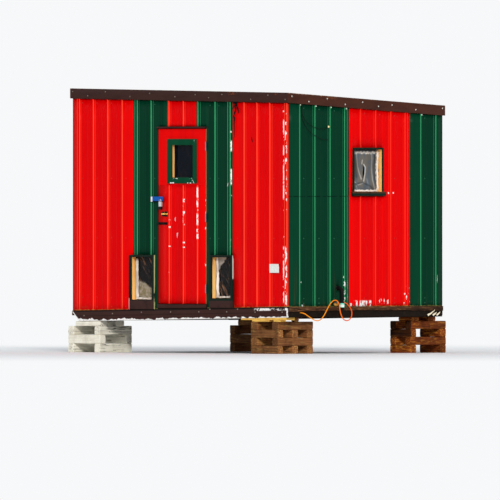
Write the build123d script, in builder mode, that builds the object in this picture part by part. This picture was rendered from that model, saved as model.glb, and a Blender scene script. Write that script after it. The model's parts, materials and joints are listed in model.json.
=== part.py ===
from build123d import *

import os
from math import ceil, pi, radians, tan

# An ice fishing hut: ribbed steel sheets over a timber shell, on a floor frame that stands on cribs.
# Millimetres, +Z up, z = 0 is the level it stands on. The front wall faces -Y, the right wall +X.

# Walls in plan
hut_length = 3400.0
hut_depth = 2320.0
wall_thickness = 70.0

# How far the outermost pieces stand past the walls, which puts the origin at the middle of the whole
crib_past_left = 80.0
crib_past_back = 158.0
pipe_reach = 96.0
knob_reach = 58.0

# The hut is out of level: heights at the front right corner, and what they change by
roof_height = 2828.0
roof_rise_to_left = 55.0
roof_fall_to_back = 132.0
base_height = 396.0
base_drop_to_left = 56.0

# Floor
runner_thickness = 64.0
joist_height = 135.0
joist_thickness = 38.0
joist_count = 7
deck_thickness = 16.0
nose_length = 105.0
nose_height = 95.0

# Roof
roof_build_up = 70.0
roof_sheet_depth = 22.0
roof_sheet_margin = 30.0
fascia_height = 110.0
fascia_thickness = 24.0

# Ribbed sheets: a rib's foot width, top width and height
gauge = 1.5
major_rib = (40.0, 14.0, 16.0)
lap_rib = (62.0, 34.0, 16.0)
minor_rib = (30.0, 14.0, 3.0)
rib_pitch = 228.6
# A space wider than this share of the pitch has two minor ribs in it
wide_space_share = 0.8
sheet_over_base = 116.0
sheet_under_fascia = 1.0

# Where the sheets meet, and their ribs, along the front wall from its left corner
front_red_end = 959.0
front_green_end = 2524.0
front_left_rib = 98.0
front_green_rib_inset = 54.0
over_door_insets = (142.0, 150.0)
over_door_rib_inset = 22.0
front_lap_rib_inset = 47.6
# The last sheet starts past the first lap rib, and its ribs are closer
front_right_rib_inset = 181.0
front_right_pitch = 201.5
corner_rib_inset = 35.0
# and along the right wall from its front corner
right_green_end = 908.0
right_red_end = 1827.0
right_first_rib = 164.0

# Trims along the base
skirt_thickness = 6.0
skirt_height = 112.0
rim_board_thickness = 18.0
rim_board_height = 52.0
rim_board_bow = 12.0

# Door, along the front wall
door_left = 1358.0
door_width = 749.0
door_over_base = 141.5
door_under_roof = 388.0
leaf_thickness = 40.0
door_gap = 6.0
hinge_gap = 8.0
head_gap = 7.0
jamb_thickness = 30.0
stop_overlap = 12.0
stop_gap = 5.0
skin_inset = 2.0
flat_panel_height = 613.0
door_rib_inset = 170.0
door_rib_pitch = 222.5

# Window in the door: its casing from the leaf's left and top edges, and the casing's widths
door_casing_inset = (152.0, 110.0)
door_casing_size = (456.0, 484.0)
door_casing_widths = (71.0, 51.0, 65.0, 67.0)
door_casing_reach = 20.0

# Low windows in the front wall: casing and glass sides along it, and the glass's lower edge over the base
left_low_window = (903.0, 1303.0, 939.0, 1264.0, 184.0)
right_low_window = (2171.0, 2538.0, 2207.0, 2502.0, 204.0)
low_casing_over_base = 670.0
low_glass_over_base = 648.0

# Window in the right wall: left and right along it, and how far its casing's top is under the roof
side_casing_run = (959.0, 1419.0)
side_casing_height = 522.0
side_casing_under_roof = 595.0
side_casing_width = 18.0
side_sill_height = 46.0
side_sill_ears = 21.0
side_sill_reach = 34.0

casing_reach = 18.0
lining_thickness = 12.0
pane_thickness = 4.0
pane_inset = 10.0
cut_clearance = 1.0

# Drip cap and threshold trim
drip_cap_height = 17.0
drip_cap_reach = 28.0
threshold_height = 44.0
threshold_reach = 16.0
trim_ears = 3.0

# Hinges
low_hinge_inset = 162.5
top_hinge_inset = 190.0
hinge_length = 96.0
knuckle_radius = 7.0
knuckle_offset = 8.0
knuckle_gap = 0.4
hinge_leaf_thickness = 2.0
hinge_leaf_depth = 30.0

# Door hardware: insets from the leaf's left edge, rises from its bottom
knob_inset = 118.0
knob_rise = 975.5
knob_radius = 27.0
knob_depth = 32.0
knob_flat_share = 0.6
rose_radius = 31.0
rose_thickness = 4.0
rose_edge = 2.0
collar_radius = 20.0
neck_radius = 11.0
collar_reach = 9.0
bolt_rise = 872.5
bolt_overhang = 13.0
bolt_length = 158.0
bolt_radius = 6.0
bolt_clearance = 6.0
bolt_guide_insets = (27.0, 117.0)
bolt_guide_width = 14.0
bolt_guide_height = 28.0
bolt_plate_inset = 6.0
bolt_plate_length = 136.0
bolt_plate_thickness = 4.0
hasp_overhang = 97.0
hasp_length = 183.0
hasp_rise = 1108.5
hasp_width = 56.0
hasp_thickness = 4.0
hasp_clearance = 6.0
hasp_block_inset = 32.0
hasp_block_width = 40.0
staple_inset = 62.0
staple_reach = 20.0
staple_height = 30.0
staple_hole_radius = 5.5
lock_width = 50.0
lock_height = 86.0
lock_depth = 20.0
lock_corner = 6.0
shackle_radius = 4.0
shackle_bend = 13.0
shackle_leg = 14.0
shackle_play = 0.3

# Cribs: log-cabin stacks of timbers, each with its plan size and its place from a corner of the hut
timber_width = 90.0
tall_layer_count = 4
low_layer_count = 3
timber_count = 2
wide_timber_count = 3
tall_packing = 48.0
low_packing = 52.0
front_left_crib = (507.0, 486.0)
front_right_crib = (420.0, 540.0)
back_right_crib = (325.0, 540.0)
back_left_crib = (420.0, 540.0)
front_right_crib_inset = 176.0
back_right_crib_inset = 100.0
back_left_crib_inset = 450.0
cap_inset = 116.0
cap_width = 120.0
cap_spacing = 250.0
crib_post = (66.0, 64.0)
crib_post_inset = 264.0
# Fresh packing on the front right crib, placed by its distance from the hut's right end
fresh_plank = (747.0, 47.0)
fresh_plank_width = 140.0
fresh_plank_thickness = 18.0
fresh_blocks = ((576.0, 309.0), (239.0, 137.0))
fresh_block_width = 90.0

# Drain pipe in the right wall: its place along the wall and up it
pipe_along = 735.0
pipe_over_base = 316.0
pipe_radius = 21.0
pipe_wall = 4.0
pipe_bend = 55.0
band_thickness = 4.0
band_height = 46.0
band_over_base = 106.0
peg_along = 661.0
peg_over_base = 157.0
peg_radius = 6.0
peg_length = 76.0

# Cords on the right wall: each point is its distance out from the wall, along it, and over the base
# for the orange cord, or over the roof's corner for the wires
cord_radius = 5.5
wire_radius = 2.5
# How much of the shorter run beside it each bend takes up
cord_bend_share = 0.45
orange_cord_route = (
    (0, 172, 50),
    (18, 172, 50),
    (35, 177, 47),
    (49, 190, 41),
    (56, 210, 29),
    (57, 251, 6),
    (56, 302, -18),
    (55, 352, -36),
    (56, 402, -37),
    (55, 444, -16),
    (52, 482, 20),
    (50, 514, 62),
    (50, 543, 104),
    (50, 569, 137),
    (50, 597, 164),
    (52, 621, 180),
    (57, 644, 186),
    (64, 664, 179),
    (72, 677, 162),
    (80, 683, 136),
    (88, 683, 102),
    (97, 681, 62),
    (105, 688, 22),
    (107, 708, -11),
    (102, 741, -31),
    (93, 781, -39),
    (83, 821, -35),
    (73, 859, -17),
    (65, 886, 14),
    (61, 894, 53),
    (60, 879, 92),
    (60, 846, 125),
    (59, 822, 143),
    (48, 805, 156),
    (27, 796, 163),
    (1.5, 796, 163),
)
upper_wire_route = (
    (22.3, 178, -120.8),
    (24, 174, -168),
    (26, 175, -215),
    (27, 191, -258),
    (27, 219, -295),
    (26, 256, -324),
    (26, 293, -346),
    (26, 332, -364),
    (26, 374, -377),
    (26, 417, -387),
    (26, 460, -391),
    (26, 503, -388),
    (24, 546, -376),
    (20, 569, -369),
    (3.5, 588, -365),
)
lower_wire_route = (
    (22.3, 166, -120.2),
    (24, 162, -168),
    (26, 162, -216),
    (28, 171, -263),
    (29, 189, -307),
    (30, 214, -348),
    (30, 245, -385),
    (30, 282, -417),
    (30, 323, -443),
    (29, 367, -465),
    (28, 412, -483),
    (27, 458, -497),
    (26, 504, -506),
    (24, 549, -510),
    (20, 571, -510),
    (3.5, 590, -509),
)

# Everything below follows from the sizes above.
left_x = (crib_past_left - hut_length - pipe_reach) / 2
right_x = left_x + hut_length
front_y = (knob_reach - hut_depth - crib_past_back) / 2
back_y = front_y + hut_depth
base_at_left = base_height - base_drop_to_left
deck_over_base = joist_height + deck_thickness
wall_under_roof = roof_sheet_depth + roof_build_up
sheet_proud = gauge + major_rib[2]
door_right = door_left + door_width
door_bottom = base_height + door_over_base
door_top = roof_height - door_under_roof
panel_bottom = door_top - flat_panel_height
head_bottom = door_top + head_gap
opening_left = door_left - door_gap
opening_right = door_right + hinge_gap
rough_left = opening_left - jamb_thickness
rough_right = opening_right + jamb_thickness
rough_top = head_bottom + jamb_thickness
hinge_place = door_right + hinge_gap / 2
strap_out = sheet_proud + hasp_clearance
tall_layer = (base_height - tall_packing) / tall_layer_count
low_layer = (base_at_left - low_packing) / low_layer_count
# A height above everything, for pieces that the sloping planes trim
above_all = roof_height + roof_rise_to_left + fascia_height

# Each wall's face: x runs along the wall from its corner, y is the height, z points outwards.
front = Plane(origin=(left_x, front_y, 0), x_dir=(1, 0, 0), z_dir=(0, -1, 0))
right = Plane(origin=(right_x, front_y, 0), x_dir=(0, 1, 0), z_dir=(1, 0, 0))
back = Plane(origin=(right_x, back_y, 0), x_dir=(-1, 0, 0), z_dir=(0, 1, 0))
left = Plane(origin=(left_x, back_y, 0), x_dir=(0, -1, 0), z_dir=(-1, 0, 0))

along_roof = Vector(hut_length, 0, -roof_rise_to_left)
down_roof = Vector(0, hut_depth, -roof_fall_to_back)
along_base = Vector(hut_length, 0, base_drop_to_left)
across_base = Vector(0, 1, 0)


def roof_plane(below):
    """The roof's slope, at a depth below the top of the fascia."""
    origin = (right_x, front_y, roof_height - below)
    return Plane(origin=origin, x_dir=along_roof, z_dir=along_roof.cross(down_roof))


def base_plane(above):
    """The slope of the runners' underside, at a height above it."""
    origin = (right_x, front_y, base_height + above)
    return Plane(origin=origin, x_dir=along_base, z_dir=along_base.cross(across_base))


def base_at(along):
    """How high the runners' underside is, at a distance along the front wall."""
    return base_at_left + base_drop_to_left * along / hut_length


def trim_between(low, high):
    """Keep what lies between two sloping planes."""
    split(bisect_by=low, keep=Keep.TOP)
    split(bisect_by=high, keep=Keep.BOTTOM)


def area(x_low, x_high, y_low, y_high, mode=Mode.ADD):
    """A rectangle given by its sides."""
    with Locations(((x_low + x_high) / 2, (y_low + y_high) / 2)):
        Rectangle(x_high - x_low, y_high - y_low, mode=mode)


def panel(face, out_low, out_high, *sides, holes=()):
    """A plate on a wall's face, between two distances out from it, with rectangular holes."""
    with BuildSketch(face.offset(out_low)) as outline:
        area(*sides)
        for hole in holes:
            area(*hole, mode=Mode.SUBTRACT)
    extrude(outline.sketch, amount=out_high - out_low)


def notch(face, *sides):
    """Cut a sheet away where a casing or the door sits."""
    with BuildSketch(face) as outline:
        area(*sides)
    extrude(outline.sketch, amount=sheet_proud * 2, both=True, mode=Mode.SUBTRACT)


def inner(sides, widths):
    """Left, right, bottom and top, moved in by a width for each."""
    return sides[0] + widths[0], sides[1] - widths[1], sides[2] + widths[2], sides[3] - widths[3]


def low_notch(casing):
    """Left, right, bottom and top of the cut for a low window, which reaches down past the sheet."""
    return casing[0] - cut_clearance, casing[1] + cut_clearance, 0, casing[3] + cut_clearance


def grown(sides, edge):
    """Left, right, bottom and top, moved out by an edge."""
    return sides[0] - edge, sides[1] + edge, sides[2] - edge, sides[3] + edge


def plan_box(x_low, x_high, y_low, y_high):
    """An upright block, as tall as anything, for the sloping planes to trim."""
    with BuildSketch() as outline:
        area(x_low, x_high, y_low, y_high)
    extrude(outline.sketch, amount=above_all)


def wall_slab(face, start, end, bottom=0.0, holes=()):
    """A slab of wall behind its face, standing on the deck and reaching the roof."""
    panel(face, 0, -wall_thickness, start, end, bottom, above_all, holes=holes)
    trim_between(base_plane(deck_over_base), roof_plane(wall_under_roof))


def ribs_between(start, end, majors, lap):
    """Major ribs, with two minor ribs in each wide space beside them."""
    ribs = [(place, lap_rib if place == lap else major_rib) for place in majors]
    edges = [start, *majors, end]
    for low, high in zip(edges, edges[1:]):
        if high - low > rib_pitch * wide_space_share:
            ribs += [(low + (high - low) * share, minor_rib) for share in (1 / 3, 2 / 3)]
    return sorted(ribs)


def ribbed_outline(start, end, majors, lap=None):
    """Draw the section of a thin sheet with hollow ribs."""
    line = [(start, 0)]
    for place, (foot, top, height) in ribs_between(start, end, majors, lap):
        line += [(place - foot / 2, 0), (place - top / 2, height)]
        line += [(place + top / 2, height), (place + foot / 2, 0)]
    line.append((end, 0))
    outer = [(x, y + gauge) for x, y in line]
    with BuildLine() as section:
        Polyline(*outer, *reversed(line), close=True)
    make_face(section.edges())


def wall_sheets(face, *sheets):
    """Hang ribbed sheets on a wall, from the fascia down to the trim along the base."""
    top = face.origin + Vector(0, 0, above_all)
    with BuildSketch(Plane(origin=top, x_dir=face.x_dir, z_dir=(0, 0, -1))) as outline:
        for sheet in sheets:
            ribbed_outline(*sheet)
    extrude(outline.sketch, amount=above_all)
    trim_between(base_plane(sheet_over_base), roof_plane(fascia_height + sheet_under_fascia))


def pitched(first, count, pitch=rib_pitch):
    """Rib places, at the sheets' own pitch or a given one."""
    return [first + pitch * step for step in range(count)]


def pitched_until(first, last, pitch=rib_pitch):
    """As many rib places as fit before a last place."""
    return pitched(first, int((last - first) / pitch) + 1, pitch)


def mirrored(sheet):
    """The same sheet on the opposite wall, which runs the other way."""
    start, end, majors, *lap = sheet
    turned = [hut_depth - rib for rib in reversed(majors)]
    return hut_depth - end, hut_depth - start, turned, *[hut_depth - rib for rib in lap]


def cut_nose():
    """Cut the runners' left ends at an angle, like a sled's."""
    slope = nose_height / nose_length
    reach = nose_length * 1.5
    with BuildSketch(Plane.XZ.offset(-front_y + hut_depth)) as outline:
        with BuildLine():
            Polyline(
                (left_x, base_at_left + nose_height),
                (left_x + reach, base_at_left + nose_height - reach * slope),
                (left_x, base_at_left + nose_height - reach * slope),
                close=True,
            )
        make_face()
    extrude(outline.sketch, amount=-3 * hut_depth, mode=Mode.SUBTRACT)


def save(part, name):
    """Label a finished piece and write it."""
    part.label = name
    export_step(part, f"parts/{name}.step")


os.makedirs("parts", exist_ok=True)

# Floor
with BuildPart() as runners:
    for y_low in (front_y, back_y - runner_thickness):
        plan_box(left_x, right_x, y_low, y_low + runner_thickness)
    trim_between(base_plane(0), base_plane(joist_height))
    cut_nose()
save(runners.part, "runners")

with BuildPart() as floor_joists:
    joist_step = (hut_length - joist_thickness) / (joist_count - 1)
    with BuildSketch():
        with Locations(((left_x + right_x) / 2, (front_y + back_y) / 2)):
            with GridLocations(joist_step, 0, joist_count, 1):
                Rectangle(joist_thickness, hut_depth - 2 * runner_thickness)
    extrude(amount=above_all)
    trim_between(base_plane(0), base_plane(joist_height))
    cut_nose()
save(floor_joists.part, "floor_joists")

with BuildPart() as floor_deck:
    plan_box(left_x, right_x, front_y, back_y)
    trim_between(base_plane(joist_height), base_plane(deck_over_base))
save(floor_deck.part, "floor_deck")

# Walls
side_casing_top = roof_height - side_casing_under_roof
side_casing = (*side_casing_run, side_casing_top - side_casing_height, side_casing_top)
side_glass = (
    side_casing[0] + side_casing_width,
    side_casing[1] - side_casing_width,
    side_casing[2] + side_sill_height,
    side_casing[3] - side_casing_width,
)
side_sill = (
    side_casing[0] - side_sill_ears,
    side_casing[1] + side_sill_ears,
    side_casing[2],
    side_glass[2],
)
low_windows = (left_low_window, right_low_window)
low_glasses = [
    (w[2], w[3], base_height + w[4], base_height + low_glass_over_base) for w in low_windows
]
low_casings = [
    (w[0], w[1], base_at(w[1]) + skirt_height + 2 * cut_clearance, base_height + low_casing_over_base)
    for w in low_windows
]

with BuildPart() as front_wall_left:
    wall_slab(front, 0, rough_left, holes=[grown(low_glasses[0], lining_thickness)])
save(front_wall_left.part, "front_wall_left")

with BuildPart() as front_wall_right:
    wall_slab(front, rough_right, hut_length, holes=[grown(low_glasses[1], lining_thickness)])
save(front_wall_right.part, "front_wall_right")

with BuildPart() as front_wall_over_door:
    wall_slab(front, rough_left, rough_right, rough_top)
save(front_wall_over_door.part, "front_wall_over_door")

with BuildPart() as back_wall:
    wall_slab(back, 0, hut_length)
save(back_wall.part, "back_wall")

side_wall_run = (wall_thickness, hut_depth - wall_thickness)
with BuildPart() as right_wall:
    wall_slab(right, *side_wall_run, holes=[grown(side_glass, lining_thickness)])
save(right_wall.part, "right_wall")

with BuildPart() as left_wall:
    wall_slab(left, *side_wall_run)
save(left_wall.part, "left_wall")

# Ribbed sheets of the front wall, cut away round the low windows and the door
door_notch = (
    opening_left - trim_ears - cut_clearance,
    opening_right + trim_ears + cut_clearance,
    0,
    head_bottom + drip_cap_height + cut_clearance,
)
over_door_start = door_left + over_door_insets[0]
over_door_end = door_right - over_door_insets[1]
front_green_rib = front_red_end + front_green_rib_inset
front_lap_rib = front_green_end - front_lap_rib_inset
over_door_ribs = pitched(over_door_start + over_door_rib_inset, 3)
corner_rib = hut_length - corner_rib_inset
last_sheet_ribs = pitched_until(
    front_green_end + front_right_rib_inset, corner_rib - front_right_pitch, front_right_pitch
)

with BuildPart() as front_red_sheets:
    wall_sheets(
        front,
        (0, front_red_end, pitched(front_left_rib, 4), front_left_rib),
        (over_door_start, over_door_end, over_door_ribs[:2]),
        (front_green_end, hut_length, [*last_sheet_ribs, corner_rib], corner_rib),
    )
    for casing in low_casings:
        notch(front, *low_notch(casing))
    notch(front, *door_notch)
save(front_red_sheets.part, "front_red_sheets")

with BuildPart() as front_green_sheets:
    wall_sheets(
        front,
        (front_red_end, over_door_start, pitched(front_green_rib, 2), front_green_rib),
        (
            over_door_end,
            front_green_end,
            (over_door_ribs[2], front_lap_rib - rib_pitch, front_lap_rib),
            front_lap_rib,
        ),
    )
    for casing in low_casings:
        notch(front, *low_notch(casing))
    notch(front, *door_notch)
save(front_green_sheets.part, "front_green_sheets")

# Ribbed sheets of the right wall, cut away round its window and for the drain pipe
right_ribs = pitched_until(right_first_rib, hut_depth - major_rib[0])
right_greens = (
    (-gauge, right_green_end, right_ribs[:4], right_ribs[3]),
    (right_red_end, hut_depth + gauge, right_ribs[8:]),
)
right_red = (right_green_end, right_red_end, right_ribs[4:8], right_ribs[7])
pipe_place = (pipe_along, base_height + pipe_over_base)

with BuildPart() as right_green_sheets:
    wall_sheets(right, *right_greens)
    with BuildSketch(right):
        with Locations(pipe_place):
            Circle(pipe_radius + cut_clearance)
    extrude(amount=sheet_proud * 2, both=True, mode=Mode.SUBTRACT)
save(right_green_sheets.part, "right_green_sheets")

with BuildPart() as right_red_sheet:
    wall_sheets(right, right_red)
    notch(right, *grown(side_casing, cut_clearance))
    notch(right, *grown(side_sill, cut_clearance))
save(right_red_sheet.part, "right_red_sheet")

# The hidden walls repeat the colours: the left wall mirrors the right one.
back_sheet_width = 4 * rib_pitch
back_sheets = []
for count in range(ceil(hut_length / back_sheet_width)):
    low = count * back_sheet_width
    high = min(low + back_sheet_width, hut_length)
    ribs = [rib for rib in pitched(low + rib_pitch / 2, 4) if rib < high - rib_pitch / 4]
    back_sheets.append((low, high, ribs))

with BuildPart() as far_green_sheets:
    wall_sheets(back, *back_sheets[0::2])
    wall_sheets(left, *[mirrored(sheet) for sheet in right_greens])
save(far_green_sheets.part, "far_green_sheets")

with BuildPart() as far_red_sheets:
    wall_sheets(back, *back_sheets[1::2])
    wall_sheets(left, mirrored(right_red))
save(far_red_sheets.part, "far_red_sheets")

# Roof
with BuildPart() as roof_deck:
    plan_box(left_x, right_x, front_y, back_y)
    trim_between(roof_plane(wall_under_roof), roof_plane(roof_sheet_depth))
save(roof_deck.part, "roof_deck")

with BuildPart() as roof_sheet:
    slope = roof_plane(roof_sheet_depth)
    far_left = slope.from_local_coords(
        (-hut_length - roof_sheet_margin, hut_depth + roof_sheet_margin, 0)
    )
    roof_run = hut_length + 2 * roof_sheet_margin
    roof_ribs = pitched(roof_sheet_margin + rib_pitch / 2, round(hut_length / rib_pitch))
    with BuildSketch(Plane(origin=far_left, x_dir=slope.x_dir, z_dir=-slope.y_dir)):
        ribbed_outline(0, roof_run, roof_ribs)
    extrude(amount=hut_depth + 2 * roof_sheet_margin)
    with BuildSketch():
        area(left_x, right_x, front_y, back_y)
    extrude(amount=above_all, mode=Mode.INTERSECT)
save(roof_sheet.part, "roof_sheet")

# Fascia: the side pieces lap over the ends of the front and back ones.
with BuildPart() as fascia_front_and_back:
    for face in (front, back):
        panel(face, 0, fascia_thickness, 0, hut_length, 0, above_all)
    trim_between(roof_plane(fascia_height), roof_plane(0))
save(fascia_front_and_back.part, "fascia_front_and_back")

with BuildPart() as fascia_sides:
    for face in (right, left):
        run = (-fascia_thickness, hut_depth + fascia_thickness)
        panel(face, 0, fascia_thickness, *run, 0, above_all)
    trim_between(roof_plane(fascia_height), roof_plane(0))
save(fascia_sides.part, "fascia_sides")

# Trims along the base
with BuildPart() as skirt_trims:
    for face in (front, back):
        panel(face, 0, skirt_thickness, 0, hut_length, 0, above_all)
    trim_between(base_plane(0), base_plane(skirt_height))
    cut_nose()
save(skirt_trims.part, "skirt_trims")

with BuildPart() as rim_boards:
    for face, base in ((right, base_height), (left, base_at_left)):
        board_top = base + sheet_over_base - cut_clearance
        board_bottom = board_top - rim_board_height
        with BuildSketch(face):
            with BuildLine():
                Line((0, board_bottom), (0, board_top))
                Line((0, board_top), (hut_depth, board_top))
                Line((hut_depth, board_top), (hut_depth, board_bottom))
                ThreePointArc(
                    (hut_depth, board_bottom),
                    (hut_depth / 2, board_bottom + rim_board_bow),
                    (0, board_bottom),
                )
            make_face()
        extrude(amount=rim_board_thickness)
save(rim_boards.part, "rim_boards")

# Door surround
opening = (opening_left, opening_right, -above_all, head_bottom)
stop_hole = (door_left + stop_overlap, door_right - stop_overlap, -above_all, door_top - stop_overlap)

with BuildPart() as door_frame:
    panel(front, 0, -wall_thickness, rough_left, rough_right, 0, rough_top, holes=[opening])
    stop_back = -leaf_thickness - stop_gap
    panel(front, stop_back, -wall_thickness, rough_left, rough_right, 0, rough_top, holes=[stop_hole])
    split(bisect_by=base_plane(deck_over_base), keep=Keep.TOP)
save(door_frame.part, "door_frame")

trim_run = (opening_left - trim_ears, opening_right + trim_ears)
with BuildPart() as drip_cap:
    panel(front, 0, drip_cap_reach, *trim_run, head_bottom, head_bottom + drip_cap_height)
    upper_edge = drip_cap.edges().filter_by(Axis.X).group_by(Axis.Z)[-1].sort_by(Axis.Y)[0]
    chamfer(upper_edge, drip_cap_height / 2)
save(drip_cap.part, "drip_cap")

with BuildPart() as threshold_trim:
    threshold_top = door_bottom - door_gap
    panel(front, 0, threshold_reach, *trim_run, threshold_top - threshold_height, threshold_top)
save(threshold_trim.part, "threshold_trim")

# Windows
with BuildPart() as low_window_casings:
    for casing, glass in zip(low_casings, low_glasses):
        panel(front, 0, casing_reach, *casing, holes=[glass])
save(low_window_casings.part, "low_window_casings")

with BuildPart() as side_window_casing:
    panel(right, 0, casing_reach, *side_casing, holes=[side_glass])
    panel(right, 0, side_sill_reach, *side_sill)
save(side_window_casing.part, "side_window_casing")

with BuildPart() as window_linings:
    for face, glass in ((front, low_glasses[0]), (front, low_glasses[1]), (right, side_glass)):
        panel(face, 0, -wall_thickness, *grown(glass, lining_thickness), holes=[glass])
save(window_linings.part, "window_linings")

pane_back = -wall_thickness + pane_inset
with BuildPart() as low_window_panes:
    for glass in low_glasses:
        panel(front, pane_back, pane_back + pane_thickness, *glass)
save(low_window_panes.part, "low_window_panes")

with BuildPart() as side_window_film:
    panel(right, pane_back, pane_back + pane_thickness, *side_glass)
save(side_window_film.part, "side_window_film")

# Door: a timber leaf, flat steel above and a ribbed sheet below
leaf_sides = (door_left, door_right, door_bottom, door_top)
door_casing_left = door_left + door_casing_inset[0]
door_casing_top = door_top - door_casing_inset[1]
door_casing = (
    door_casing_left,
    door_casing_left + door_casing_size[0],
    door_casing_top - door_casing_size[1],
    door_casing_top,
)
door_glass = inner(door_casing, door_casing_widths)
door_lined_hole = grown(door_glass, lining_thickness)

with BuildPart() as door_leaf:
    panel(front, 0, -leaf_thickness, *leaf_sides, holes=[door_lined_hole])
save(door_leaf.part, "door_leaf")

skin_left = door_left + skin_inset
skin_right = door_right - skin_inset
with BuildPart() as door_panel:
    panel(front, 0, gauge, skin_left, skin_right, panel_bottom, door_top, holes=[door_lined_hole])
save(door_panel.part, "door_panel")

with BuildPart() as door_sheet:
    sheet_top = Plane(
        origin=front.origin + Vector(0, 0, panel_bottom), x_dir=front.x_dir, z_dir=(0, 0, -1)
    )
    with BuildSketch(sheet_top):
        ribbed_outline(skin_left, skin_right, pitched(door_left + door_rib_inset, 3, door_rib_pitch))
    extrude(amount=panel_bottom - door_bottom)
save(door_sheet.part, "door_sheet")

with BuildPart() as door_window_casing:
    panel(front, gauge, gauge + door_casing_reach, *door_casing, holes=[door_glass])
save(door_window_casing.part, "door_window_casing")

with BuildPart() as door_window_lining:
    panel(front, gauge, -leaf_thickness, *door_lined_hole, holes=[door_glass])
save(door_window_lining.part, "door_window_lining")

with BuildPart() as door_window_glass:
    glass_back = -leaf_thickness + pane_inset
    panel(front, glass_back, glass_back + pane_thickness, *door_glass)
save(door_window_glass.part, "door_window_glass")

# Hinges: the knuckles lie in thirds, the middle one on the door.
knuckle_out = gauge + knuckle_offset
knuckle_length = hinge_length / 3
low_hinge = door_bottom + low_hinge_inset
top_hinge = door_top - top_hinge_inset
hinge_heights = (low_hinge, (low_hinge + top_hinge) / 2, top_hinge)


def hinge_half(height, leaf_start, thirds):
    """A hinge's leaf in the gap beside the door, and its knuckles with their webs."""
    leaf_end = leaf_start + hinge_leaf_thickness
    low = height - hinge_length / 2
    panel(front, -hinge_leaf_depth, gauge, leaf_start, leaf_end, low, low + hinge_length)
    for third in thirds:
        bottom = low + third * knuckle_length + knuckle_gap / 2
        top = bottom + knuckle_length - knuckle_gap
        panel(front, gauge, knuckle_out, leaf_start, leaf_end, bottom, top)
        with BuildSketch(Plane.XY.offset(bottom)) as outline:
            with Locations((left_x + hinge_place, front_y - knuckle_out)):
                Circle(knuckle_radius)
        extrude(outline.sketch, amount=top - bottom)


with BuildPart() as jamb_hinges:
    for height in hinge_heights:
        hinge_half(height, opening_right - hinge_leaf_thickness, (0, 2))
save(jamb_hinges.part, "jamb_hinges")

with BuildPart() as door_hinges:
    for height in hinge_heights:
        hinge_half(height, door_right, (1,))
save(door_hinges.part, "door_hinges")

# Door hardware
with BuildPart() as door_knob:
    knob_centre = front.from_local_coords((door_left + knob_inset, door_bottom + knob_rise, gauge))
    knob_end = knob_reach - gauge
    knob_start = knob_end - knob_depth
    with BuildSketch(Plane(origin=knob_centre, x_dir=(1, 0, 0), z_dir=(0, 0, 1))):
        with BuildLine():
            Polyline(
                (0, 0),
                (rose_radius, 0),
                (rose_radius, -rose_thickness),
                (rose_radius - rose_edge, -rose_thickness - rose_edge),
                (collar_radius, -rose_thickness - rose_edge),
                (neck_radius, -collar_reach),
                (neck_radius, -knob_start),
                (knob_radius, -knob_start - knob_depth / 3),
                (knob_radius, -knob_end + knob_depth / 4),
                (knob_radius * knob_flat_share, -knob_end),
                (0, -knob_end),
                close=True,
            )
        make_face()
    revolve(axis=Axis(knob_centre, (0, 1, 0)))
save(door_knob.part, "door_knob")

with BuildPart() as door_bolt:
    bolt_out = gauge + bolt_clearance + bolt_radius
    bolt_start = door_left - bolt_overhang
    bolt_height = door_bottom + bolt_rise
    with BuildSketch(Plane.YZ.offset(left_x + bolt_start)):
        with Locations((front_y - bolt_out, bolt_height)):
            Circle(bolt_radius)
    extrude(amount=bolt_length)
    half_guide = bolt_guide_height / 2
    guide_rise = (bolt_height - half_guide, bolt_height + half_guide)
    plate_left = door_left + bolt_plate_inset
    plate_run = (plate_left, plate_left + bolt_plate_length)
    panel(front, gauge, gauge + bolt_plate_thickness, *plate_run, *guide_rise)
    for inset in bolt_guide_insets:
        guide_left = door_left + inset - bolt_guide_width / 2
        guide_run = (guide_left, guide_left + bolt_guide_width)
        panel(front, gauge, bolt_out + bolt_radius + bolt_clearance / 2, *guide_run, *guide_rise)
save(door_bolt.part, "door_bolt")

hasp_bottom = door_bottom + hasp_rise
hasp_top = hasp_bottom + hasp_width
hasp_middle = (hasp_bottom + hasp_top) / 2
hasp_start = door_left - hasp_overhang
block_left = door_left + hasp_block_inset
staple_place = door_left + staple_inset
staple_hole_out = strap_out + hasp_thickness + staple_reach / 2
with BuildPart() as hasp:
    strap = (hasp_start, hasp_start + hasp_length, hasp_bottom, hasp_top)
    panel(front, strap_out, strap_out + hasp_thickness, *strap)
    panel(front, gauge, strap_out, block_left, block_left + hasp_block_width, hasp_bottom, hasp_top)
    with BuildSketch(Plane.YZ.offset(left_x + staple_place - hasp_thickness / 2)):
        with Locations((front_y - staple_hole_out, hasp_middle)):
            Rectangle(staple_reach, staple_height)
            Circle(staple_hole_radius, mode=Mode.SUBTRACT)
    extrude(amount=hasp_thickness)
save(hasp.part, "hasp")

with BuildPart() as padlock:
    shackle_drop = staple_hole_radius - shackle_radius - shackle_play
    shackle_top = hasp_middle - shackle_drop
    bend_height = shackle_top - shackle_bend
    lock_top = bend_height - shackle_leg
    shackle_plane = front.offset(staple_hole_out)
    with BuildLine(shackle_plane):
        Line((staple_place - shackle_bend, lock_top), (staple_place - shackle_bend, bend_height))
        ThreePointArc(
            (staple_place - shackle_bend, bend_height),
            (staple_place, shackle_top),
            (staple_place + shackle_bend, bend_height),
        )
        Line((staple_place + shackle_bend, bend_height), (staple_place + shackle_bend, lock_top))
    with BuildSketch(Plane.XY.offset(lock_top)):
        with Locations((left_x + staple_place - shackle_bend, front_y - staple_hole_out)):
            Circle(shackle_radius)
    sweep()
    with BuildSketch(shackle_plane.offset(-lock_depth / 2)):
        with Locations((staple_place, lock_top - lock_height / 2)):
            RectangleRounded(lock_width, lock_height, lock_corner)
    extrude(amount=lock_depth)
save(padlock.part, "padlock")

# Cribs


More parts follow.
